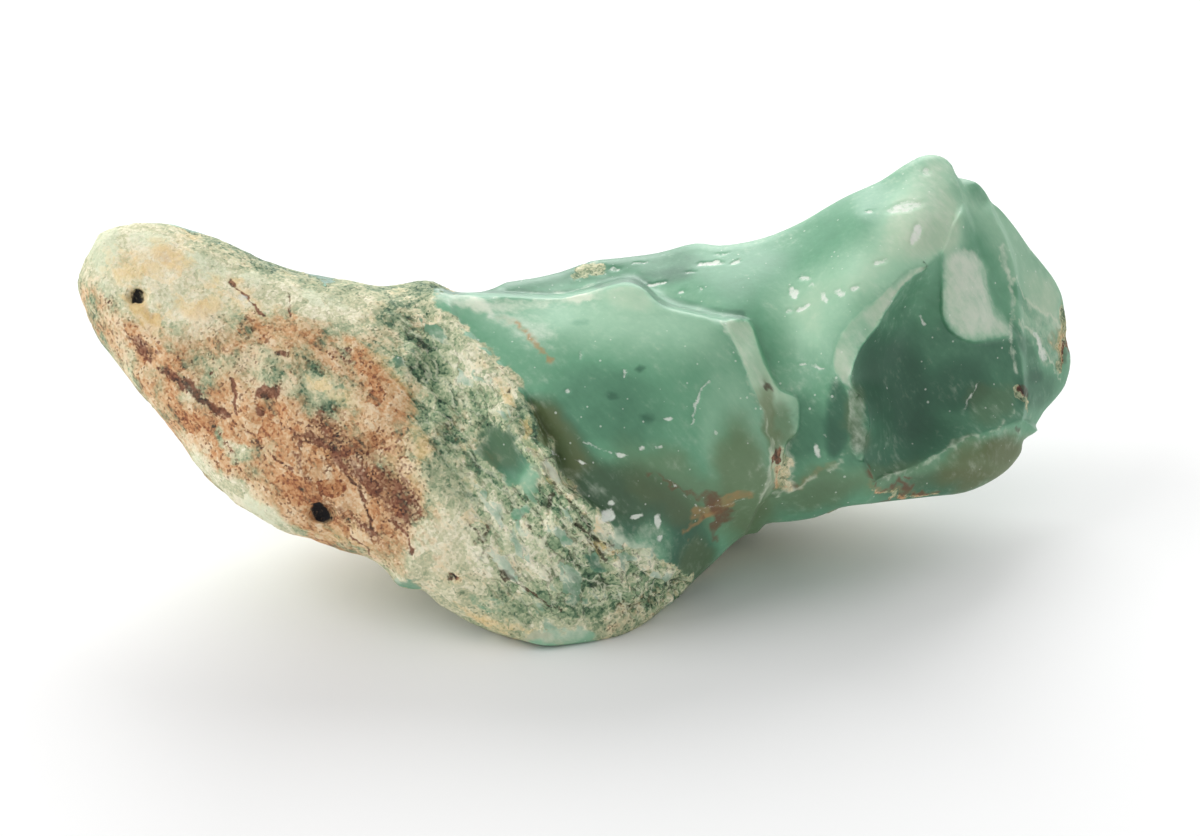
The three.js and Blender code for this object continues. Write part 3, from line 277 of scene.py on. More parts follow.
BEVEL = [(10.5, 5.3, 3.9), (11.7, 2.4, 4.7), (13, 0.2, 4.8), (12.7, -2, 4.8), (12.5, -3.8, 4.4)]

# Where the chamfer along the blade begins, on the saddle.
BAND_EDGE = [
    (23, 10.9, 0.5), (21.5, 9.9, 1.8), (20.1, 8.6, 3), (18.1, 6.9, 3.8), (16.9, 4.4, 4.4), (17, 3.3, 4.7),
    (17.9, 2, 5), (18.1, 0.8, 4.9), (18, -1.6, 4.5), (18.6, -2.9, 3.9),
]


def backwards(places):
    return places[::-1]


def lifted(places, by):
    return [(along, up, out + by) for along, up, out in places]


# Loops and lines that bound both a face and a mark of colour, or two marks.
HOLLOW_LOOP = BLADE + LIP_TOP + [(30.7, 1.3)] + backwards(FROST_EDGE)
BAND_LOOP = BAND_EDGE + backwards(BLADE[1:])
BEVEL_LOOP = PANEL_RIGHT[:-1] + backwards(BEVEL_EDGE)
FROST_LOOP = FROST_EDGE + [(28.6, 8), (28, 9.6), (27.8, 11.3), (25.2, 11.9)]
FAR_STEP_EDGE = [(29.2, 12.5), (29.7, 10), (29.9, 5.3), (30.1, 3.3)]

# From the lowest face to the one that lies over all the others: the loop that bounds it, the places that
# bend it, the width over which it falls to the faces under it, and the height of the rind's relief on it.
FRONT_FACES = [
    (LEDGE_FAR + FAR_OUT, LEDGE_FAR + STEP_FAR, 0.3, 0.1),
    (
        LEDGE_NEAR + [(29.9, 4.2), (30.1, 2.4)] + backwards(LEDGE_FAR),
        LEDGE_NEAR + lifted(LEDGE_FAR, 0.6) + STEP_NEAR,
        0.3,
        0,
    ),
    (HOLLOW_LOOP, BLADE + LIP_TOP + FROST_EDGE + HOLLOW, 0.2, 0),
    (
        FROST_EDGE + backwards(LEDGE_NEAR) + [(25.5, 14), (24.8, 12.2)],
        lifted(FROST_EDGE, 0.3) + LEDGE_NEAR[1:] + FROST,
        0.3,
        0,
    ),
    (LIP_TOP + LIP_OUT, LIP_TOP + LIP, 0.15, 0),
    (FACET_TOP + FACET_OUT, FACET_TOP + FACET, 0.15, 0),
    (
        PANEL_TOP + PANEL_RIGHT[:-2] + FACET_TOP + backwards(BLADE) + SADDLE_RIGHT + SADDLE_TOP,
        SADDLE + BLADE + FACET_TOP,
        0.15,
        0,
    ),
    (BAND_LOOP, BAND_EDGE + lifted(BLADE[1:], -0.45), 0.1, 0),
    (BEVEL_LOOP, lifted(PANEL_RIGHT, -0.1) + BEVEL_EDGE + BEVEL, 0.2, 0),
    (
        GREEN_EDGE + backwards(PANEL_OUT) + backwards(PANEL_RIGHT) + backwards(PANEL_TOP),
        PANEL_TOP + PANEL_RIGHT + PANEL,
        0.25,
        0,
    ),
    (GREEN_EDGE + RIND_OUT, GREEN_EDGE + RIND, 0.5, 0.28),
]

# Pits in the rind: place, radius, squash and depth.
PITS = [((-33.5, 8.8), 0.7, 1.2, 0.9), ((-20.1, -6.9), 0.9, 1.5, 1.1)]

# The back and the underside, in X, Y and Z from the middle of the broad face at floor level: flat breaks
# (a place and where it faces) and round scars (middle and radius).
BREAKS = [
    ((-15, 10.5, 12), (-0.15, 0.95, 0.28)),
    ((15, 15.2, 12), (0.05, 0.97, 0.2)),
    ((31, 14.6, 12), (0.6, 0.78, 0.15)),
    ((-20, 6, 21.6), (0.2, 0.45, 0.87)),
    ((5, 12.6, 18.8), (0.02, 0.75, 0.65)),
    ((22, 15.6, 23), (0.15, 0.85, 0.5)),
    ((0, 10, 3), (-0.1, 0.7, -0.71)),
    ((-7, 0, 0), (-0.4, 0, -0.92)),
    ((-33, 3, 13), (-0.66, 0.35, -0.66)),
    ((9, 4, 0), (0.3, 0.05, -0.95)),
    ((24, 13, 6), (0.3, 0.6, -0.74)),
]
SCARS = [
    ((9, 31, 14), 18),
    ((-20, 25, 9), 16.6),
    ((26, 24, 10), 11),
    ((-15, 12, 36), 17.6),
    ((-22, -3, -13), 19),
]

# ---- Marks of colour on the front, in mm ---------------------------------------------------------

# Areas: the loop that bounds them, the width of their soft border, and their strength.
AREAS = {
    "rind": [
        # everything on the blunt side of the broken ledge
        ([(-13.2, 9.9), (-11.8, 8.6), (-10.7, 7.2), (-9.6, 6), (-7.8, 4.8), (-6.4, 3.1), (-5.5, 1.7),
          (-4.7, 0), (-3.8, -1.6), (-3.2, -3.2), (-2.3, -4.5), (-0.7, -5.9), (0.9, -7.4), (2.9, -8.8),
          (4.6, -10.1), (6.2, -11), (7.2, -16.1), (-2.9, -19.7), (-21.7, -16.1), (-39.1, -0.1), (-42, 12.2),
          (-35.5, 16.5), (-19.6, 12.9)], 0.5, 1),
    ],
    "rust": [
        # specks of rust over the whole blunt face
        ([(-37.7, 9.3), (-34.8, 8.1), (-31.2, 7.2), (-27.9, 8.6), (-24.5, 8.6), (-21, 7.2), (-17.7, 7),
          (-15.1, 4.8), (-13, 0.6), (-11.6, -3.8), (-11.2, -8.8), (-13, -10.7), (-16.7, -10.7),
          (-21.7, -8.8), (-27.5, -4.5), (-32.6, 1.3), (-36.2, 5.7)], 2.5, 0.52),
        # broad rust patch
        ([(-37.1, 9.6), (-35.4, 7), (-32.6, 5.8), (-30, 4.1), (-27.9, 2.2), (-26.1, 1.4), (-24.1, 3.3),
          (-21.7, 4.8), (-19.2, 5.3), (-17, 4.8), (-15.1, 2.2), (-13.9, -0.1), (-14.8, -1.3), (-15.6, -2.5),
          (-14.2, -4.5), (-12.8, -6.3), (-11.9, -8.5), (-12.3, -10.3), (-14.2, -10.7), (-17.4, -10),
          (-20.4, -8.6), (-23, -6.8), (-25.2, -5.1), (-27.2, -3.5), (-29.3, -1.6), (-31, 0.4), (-33.3, 3.1),
          (-35.7, 6)], 2.6, 0.5),
        # rusty to the rim on the lower left
        ([(-37.2, 9.1), (-32.6, 5.9), (-27.9, 2.5), (-24.5, 0.6), (-21.7, -1.6), (-19.6, -5.9),
          (-21.7, -8.5), (-25.4, -6.3), (-29, -3.2), (-33.3, 2), (-36.2, 6.4)], 1.4, 0.34),
        # densest rust
        ([(-20.1, -1.3), (-18, -1.9), (-15.8, -3.5), (-13.8, -5.7), (-12.3, -7.5), (-12.3, -9.4),
          (-13.9, -10.4), (-16.5, -9.4), (-18.4, -7.7), (-20.4, -6.1), (-21.3, -3.8)], 2, 0.7),
        ([(-32.6, 1.3), (-29, -0.4), (-27.2, -2.7), (-26.4, -3.9), (-27.9, -3.3), (-29.9, -2),
          (-31.9, -0.1)], 0.8, 0.4),
    ],
    "brown": [
        # browner low down
        ([(-15.9, -3.8), (-13, -5.9), (-12.2, -8.8), (-13.8, -10.3), (-16.7, -9.2),
          (-18.1, -7.4)], 1.5, 0.12),
        ([(-21.7, -1.6), (-19.6, -0.9), (-18.1, -3), (-19.6, -4.5), (-21.7, -3.8)], 1, 0.22),
    ],
    "ochre": [
        # yellowed tip
        ([(-36.7, 12.3), (-34.2, 13), (-31.9, 13.8), (-29.3, 13.2), (-28.1, 11.3), (-28.4, 8.6),
          (-29.7, 6.4), (-31.5, 5.3), (-33.7, 6.7), (-35.7, 9.3)], 1.8, 0.36),
    ],
    "cream": [
        # bleached tip
        ([(-37.4, 10.7), (-36.5, 13.2), (-33.9, 14.2), (-30.6, 13.3), (-28.1, 11.4), (-26.5, 9.7),
          (-26.8, 7.2), (-29.3, 6.2), (-32.6, 7.2), (-35.5, 8.6)], 1.5, 1),
        # bleached strip under the top edge
        ([(-28.6, 11.2), (-24.9, 10.3), (-20.6, 9), (-16.4, 8.7), (-18, 7), (-22.5, 7.2),
          (-26.4, 8)], 0.8, 0.7),
        # bleached ridge
        ([(-11.6, 6.7), (-9.9, 6.4), (-7.8, 4.3), (-5.7, 1.7), (-4.9, 0.1), (-6.7, -0.1), (-8.3, 0.4),
          (-9.7, 1.2), (-10.9, 3.3)], 1.2, 0.5),
    ],
    "deep": [
        # dark granular band
        ([(-15.5, 8.8), (-13.5, 7.2), (-12.2, 5.5), (-11.3, 2.9), (-10.1, 0.7), (-9.7, -1.6), (-11.6, -1),
          (-13.5, 1.2), (-14.8, 3.8), (-15.7, 6.1)], 1, 0.5),
        # dark foot of the panel, partly deeper green and partly painted shade where it turns down
        ([(-5.8, 1.2), (-3.9, 1.3), (-1.7, -0.9), (0, -3.2), (2.9, -3.5), (5.8, -5.5), (7.7, -8.1),
          (8.4, -10.3), (7.2, -12), (5.5, -11.3), (3.6, -9.4), (0.9, -8), (-1.4, -5.9), (-3.2, -3.8),
          (-4.6, -1.6)], 1, 0.78),
        # dark slope behind the panel
        ([(-11.9, 9.6), (-8.7, 10), (-5.8, 10.9), (0, 11.8), (5.8, 12.5), (7.2, 11.3), (4.9, 10),
          (3.8, 9.9), (2.3, 10.2), (0, 9.8), (-5.8, 9.1), (-9.4, 9.2)], 0.8, 0.3),
        # shade under the blade
        ([(17, 2.8), (18, 1.7), (18.1, -0.1), (17.8, -2), (16.8, -2.9), (16.4, -1.6),
          (16.5, 0.9)], 0.35, 0.7),
        # scooped hollow, partly thick deep glass and partly painted shade
        (HOLLOW_LOOP, 0.12, 0.36),
    ],
    "pale": [
        # paler top of the panel, painted light where it turns up toward the lamps
        ([(-11.6, 9.3), (-7.2, 8.1), (-2.9, 8.6), (0, 9.6), (2.9, 10.3), (4.6, 8.8), (8.6, 7.4), (8.4, 4.8),
          (4.3, 4.8), (0, 5.2), (-4.3, 5.8), (-8, 6.7)], 2.2, 0.5),
        # bevel, painted paler as painted light shining through its thin edge
        (BEVEL_LOOP, 0.1, 0.95),
        # minty saddle, its paleness partly painted light where it faces up
        ([(13, 8.6), (17.4, 11.3), (21.7, 14), (23.9, 12.9), (21.7, 10.3), (19.7, 8.6), (17.8, 6.4),
          (15.9, 4.9), (13.8, 5.7)], 2, 0.75),
        # band along the blade, painted paler as painted light where it faces up toward the lamps
        (BAND_LOOP, 0.1, 0.95),
        # its duller foot
        ([(17.8, 2.5), (19.4, 2.5), (19.7, -2.5), (18, -2.5)], 0.5, -0.95),
        # peak, painted paler as painted light shining through its thin edge
        ([(20.3, 13.6), (23.6, 18.8), (25.1, 18.7), (26.2, 15.1), (25.9, 12.2), (23.9, 11.3)], 1.2, 0.85),
        # frosted patch
        (FROST_LOOP, 0.45, 0.8),
        # far steps
        ([(26.2, 15.8), (29, 15.4), (31.9, 11.3), (33.5, 8.6), (33, 6.4), (30.3, 7.1), (29.3, 11.3),
          (27.9, 12.9)], 1, 0.5),
    ],
    "olive": [
        # olive hollow beside the ledge, darkened partly as painted shade
        ([(-5.8, 1.2), (-3.9, 1.2), (-1.9, -1), (-0.7, -3.8), (-2.2, -4.5), (-3.5, -2.9),
          (-4.8, -1.2)], 0.8, 0.75),
    ],
    "ledge": [
        # splintered edge of the granular zone
        ([(-5.1, -0.1), (-2.9, -1.6), (0, -5.9), (3.6, -8.8), (6.5, -11.4), (5.8, -13.9), (1.4, -14.3),
          (-2.9, -12.5), (-5.8, -8.8), (-8, -5.9), (-5.8, -3.8)], 1.2, 0.9),
        # the whole granular zone
        ([(-14.5, 7.8), (-11.6, 7.1), (-8.7, 4.9), (-5.1, 0.6), (-4.3, -1.6), (-2.9, -3.8), (1.4, -8.8),
          (6.5, -11.4), (1.4, -14.3), (-4.3, -15.5), (-7.2, -13.9), (-8.8, -10.3), (-10, -6.7),
          (-11.6, -2.3), (-13, -0.1), (-15.2, 4.2)], 1.4, 0.7),
    ],
    "frost": [
        # bleached skin left of the vein
        ([(-8.8, 8), (-6.8, 7.7), (-4.8, 7.2), (-3.2, 6.2), (-3.8, 5.5), (-5.4, 5.4), (-6.8, 6.2),
          (-8.1, 7.1)], 0.8, 0.42),
        # frosted patch
        (FROST_LOOP, 0.5, 0.6),
        # peak
        ([(22.1, 18.7), (25.1, 18.7), (25.9, 15.1), (25.8, 13.2), (23.9, 13.9)], 1.5, 0.3),
        # bevel
        ([(8.7, 7.4), (10.3, 7), (11.3, 4.8), (11.9, 2.3), (10.9, 2.8)], 0.3, 0.35),
        # band along the blade
        (BAND_LOOP, 0.1, 0.3),
    ],
}

# Streaks: the line they follow, their half width, and their strength.
STREAKS = {
    "rind": [
        # granular finger
        ([(4, -9.7), (4.6, -10.7), (5.2, -11.7)], 0.45, 0.9),
        # glassy band along the top of the blunt end
        ([(-31.2, 14.2), (-28.6, 13.6), (-25, 12.2), (-19.6, 10.2)], 0.25, -0.8),
        # granular rim behind it
        ([(-15.1, 9.8), (-12.7, 9.9), (-10.3, 9.5)], 0.5, 0.9),
        # rusty lower edge of the lip
        ([(19.3, -5.1), (21.7, -5.6), (24.3, -5.6)], 0.15, 0.6),
    ],
    "rust": [
        # orange band beside the green zone
        ([(-18.8, 4.8), (-17, 4.1), (-15.5, 2.2), (-14.3, 0.3)], 0.9, 0.6),
        # brown streak
        ([(-31.5, 3.3), (-29.1, 1.4), (-26.7, -0.7), (-24.5, -2.7)], 0.8, 0.6),
        # stained crack across the panel's foot
        ([(3.3, -2.9), (5.2, -4.8), (7.7, -7.1), (9.3, -8.3)], 0.22, 0.6),
        # rusty lower edge of the lip
        ([(19.1, -3.8), (19.7, -4.5), (19.5, -5), (21.7, -5.4), (24.6, -5.3)], 0.12, 0.8),
    ],
    "brown": [
        ([(-31.9, 3.4), (-30.3, 2.5), (-29, 1.5)], 0.32, 0.7),
        ([(-29.1, 1.6), (-28, 0.9), (-26.7, 0.2)], 0.16, 0.6),
        ([(-28.8, 1.2), (-26.8, -0.1)], 0.25, 0.5),
        ([(-28.8, 1.1), (-27.7, 0.7), (-26.4, -0.3), (-24.5, -2), (-22.5, -3.8)], 0.12, 0.5),
        ([(-26.8, 2.9), (-26.6, 1.6), (-26.2, 0.2)], 0.14, 0.8),
        ([(-26.4, 9.7), (-25.4, 8.8), (-24.2, 7.5)], 0.1, 0.75),
        ([(-22.8, 9.1), (-22.6, 8.1), (-22.5, 7)], 0.1, 0.5),
        # fibrous dark streak
        ([(-19.9, -0.1), (-18.5, -2.2), (-16.4, -4.2), (-14.2, -6.7)], 1.2, 0.42),
        ([(-15.9, -1.6), (-14.8, -3.8), (-13.6, -6.8)], 0.8, 0.25),
        ([(-22, -1.6), (-21.7, -3.8), (-20.1, -5.9), (-18, -7.4), (-15.9, -8.8)], 0.4, 0.35),
        # crack beside the orange spot
        ([(-19.3, -2.3), (-18.7, -3.5), (-18.3, -4.5), (-17.4, -5.7), (-17, -6.8),
          (-16.5, -8.3)], 0.1, 0.9),
        ([(-21.7, -2), (-20.4, -2), (-19.3, -2.3)], 0.08, 0.6),
        ([(-15.7, -7.4), (-14.8, -7.8), (-13.9, -8.8), (-13.6, -10)], 0.08, 0.6),
        ([(-25.4, -1.6), (-24.5, -2.5), (-24.5, -3.3)], 0.08, 0.5),
        ([(-18, -8.6), (-17.2, -9.3), (-17, -10)], 0.08, 0.6),
        # crack
        ([(-6.8, -11.3), (-6.1, -12), (-4.9, -12.8), (-2.5, -13.8)], 0.08, 0.7),
        ([(-1.7, -7.7), (-0.3, -8.6), (1.2, -9.4)], 0.1, 0.7),
        ([(-0.9, -8.7), (0, -9.6), (0.7, -10.4)], 0.16, 0.6),
        ([(-23.4, -0.1), (-22, -1), (-20.3, -2)], 0.25, 0.4),
        # edge of the lower flank
        ([(-27.8, -0.7), (-26.7, -2.5), (-25.5, -4.5)], 0.12, 0.35),
        # under the broken ledge
        ([(-4, -2.8), (-3.4, -4.3), (-2, -6.2), (-0.1, -8.8)], 0.14, 0.45),
        # fibrous lines between the ledges
        ([(-9.4, -7.4), (-8.3, -9.6), (-6.8, -11.7)], 0.1, 0.35),
        ([(-5.1, -5.9), (-3.5, -8.8), (-1.4, -11.2)], 0.08, 0.35),
        ([(-7.4, -3.8), (-5.8, -6.8), (-3.8, -9.4)], 0.08, 0.35),
    ],
    "ochre": [
        # stained edge of a chip
        ([(-35, 12.1), (-34.1, 11.3), (-33.5, 10.3), (-33.3, 9.3)], 0.14, 0.7),
        # pale orange rim of the band
        ([(-18.5, 5.1), (-16.5, 4.8), (-14.6, 2.2), (-13.5, -0.4), (-12.8, -2.5)], 0.6, 0.5),
        # ochre along the broken ledge
        ([(-7.4, 2.3), (-5.7, 0), (-4.6, -1.9), (-3.5, -4.2)], 0.35, 0.5),
        ([(-3.5, -4.2), (-1.4, -6.5), (0.4, -8.6), (1.3, -10)], 0.35, 0.4),
        ([(-10, -5.9), (-8.4, -8.1), (-7.2, -10.3)], 0.4, 0.3),
        # orange vein
        ([(-6.4, 6.8), (-4.9, 5.4), (-3.2, 4.1)], 0.2, 0.7),
        # rim under the belly
        ([(-10.7, -13.3), (-8.7, -14.6), (-5.8, -15.7), (-2.9, -16.1)], 0.4, 0.38),
        ([(6.5, -8.1), (8.4, -6.8), (10.5, -5.9)], 0.3, 0.6),
        ([(19.3, -4.9), (21.7, -5.4), (24.3, -5.4)], 0.2, 0.45),
        ([(12.9, -4.9), (14.9, -4.3), (17, -3.3)], 0.25, 0.4),
    ],
    "cream": [
        # lower rim of the blunt end
        ([(-30.4, -1.6), (-28.3, -4.1), (-25.7, -6.1), (-24.2, -7.1)], 0.5, 0.5),
        ([(-29.6, -3.2), (-26.4, -5.9), (-23.9, -7.2)], 0.6, 0.8),
        ([(-24.5, -7), (-22.8, -8.1)], 0.3, 0.5),
        ([(-19.1, -10), (-17, -11), (-14.8, -11.7)], 0.4, 0.8),
        # broken edges of the ledges
        ([(-4.3, -2), (-3.2, -4.2), (-1.9, -5.9), (0, -7.7), (1.6, -8.8)], 0.3, 0.7),
        ([(0, -10), (1.9, -11.2), (3.6, -12.2)], 0.5, 0.5),
        ([(0.3, -7.5), (2.5, -9.3), (4.9, -11.2)], 0.4, 0.6),
        # bleached edge at the panel's top
        ([(-11.6, 8.8), (-8.8, 8.3), (-6.4, 8.2), (-3.9, 8.4), (-1.9, 8.8), (0, 9.3)], 0.5, 0.5),
        # edge of the bevel
        ([(8.8, 7), (10, 4.8), (11.4, 1.2), (12.6, -1.6)], 0.09, 0.5),
        ([(12.5, -1.6), (12.2, -3.8), (11.7, -5.9)], 0.2, 0.6),
        ([(13.6, -2), (13.8, -3.8), (13.6, -4.9)], 0.22, 0.6),
        # edge over the facet
        ([(12.8, -5.4), (14.9, -4.5), (17, -3.5), (18, -2.3)], 0.14, 0.6),
        # ridge over the lip
        ([(20.6, -4.3), (23.2, -3.5), (26.1, -1.8), (28.6, -0.7), (30, 0.6)], 0.14, 0.5),
        # edge of the far step
        (FAR_STEP_EDGE, 0.12, 0.45),
        # broken edges beyond it
        ([(29.9, 10.1), (31.2, 8.6), (32.3, 7.5), (33.2, 6.8)], 0.1, 0.6),
        ([(30.4, 7.4), (31.6, 5.7), (32.6, 3.8), (33.2, 2.5)], 0.08, 0.55),
    ],
    "deep": [
        # dark streaks by the right edge
        ([(2.2, -12.6), (3.6, -12.5), (5.8, -12)], 0.3, 0.6),
        # small step above the panel
        ([(0, 9.7), (1.2, 10), (2.3, 10.1), (3.3, 9.7), (4.3, 8.6), (5.5, 8.3), (7.2, 7.9), (8.8, 7.6),
          (10.1, 7.5)], 0.35, 0.4),
        ([(-11.2, 9.4), (-8.7, 9.3), (-5.8, 9.1), (-2.9, 9.1), (0, 9.6)], 0.15, 0.4),
        # dark glassy rim
        ([(-29.9, 13.6), (-27.8, 12.8), (-25.8, 11.9), (-23.8, 11), (-21.6, 10.4),
          (-19.6, 10.1)], 0.4, 0.5),
        ([(-15.1, 9.8), (-12.7, 9.9), (-10.3, 9.5)], 0.6, 0.6),
        # dark streaks at the belly's right edge
        ([(0, -13.5), (2.2, -13.6), (4.6, -13), (6.4, -12.2)], 0.4, 0.5),
        ([(30.1, 9.3), (31.2, 7.8), (32.2, 7)], 0.35, 0.4),
        ([(30.1, 6.4), (31, 4.8), (31.6, 3)], 0.4, 0.35),
    ],
    "frost": [
        ([(-8.8, 8.4), (-8.1, 8.1), (-7.8, 7.5)], 0.2, 0.7),
        # its whitest part
        ([(26.5, 11.3), (26.8, 9.7), (27.2, 8.3), (27.5, 7.1)], 0.9, 0.6),
        # edge of the far step
        (FAR_STEP_EDGE, 0.14, 0.5),
    ],
    "bruise": [
        ([(-1.23, -1.67), (0.14, -2.25), (1.59, -2.83)], 0.07, 0.7),
        # curved scratch
        ([(8.04, 2.68), (7.39, 1.96), (7.03, 1.16), (6.81, 0.43), (6.67, -0.51)], 0.1, 0.75),
        # light line in the stained crack
        ([(4.93, -4.35), (6.52, -5.94), (7.54, -6.96)], 0.05, 0.6),
        ([(7.39, -6.52), (8.99, -6.38), (10.51, -5.94)], 0.07, 0.5),
        ([(3.48, 9.64), (4.06, 9.71), (4.64, 9.86)], 0.12, 0.9),
        ([(14.49, 3.91), (15.36, 3.77), (16.23, 3.55)], 0.08, 0.7),
        ([(31.59, 6.09), (31.96, 5.14), (32.25, 4.2)], 0.18, 0.8),
        # scratch in the hollow
        ([(27.54, 2.68), (26.88, 1.59), (26.38, 0.65)], 0.07, 0.65),
        ([(23.26, 7.39), (23.55, 6.81)], 0.12, 0.8),
    ],
}

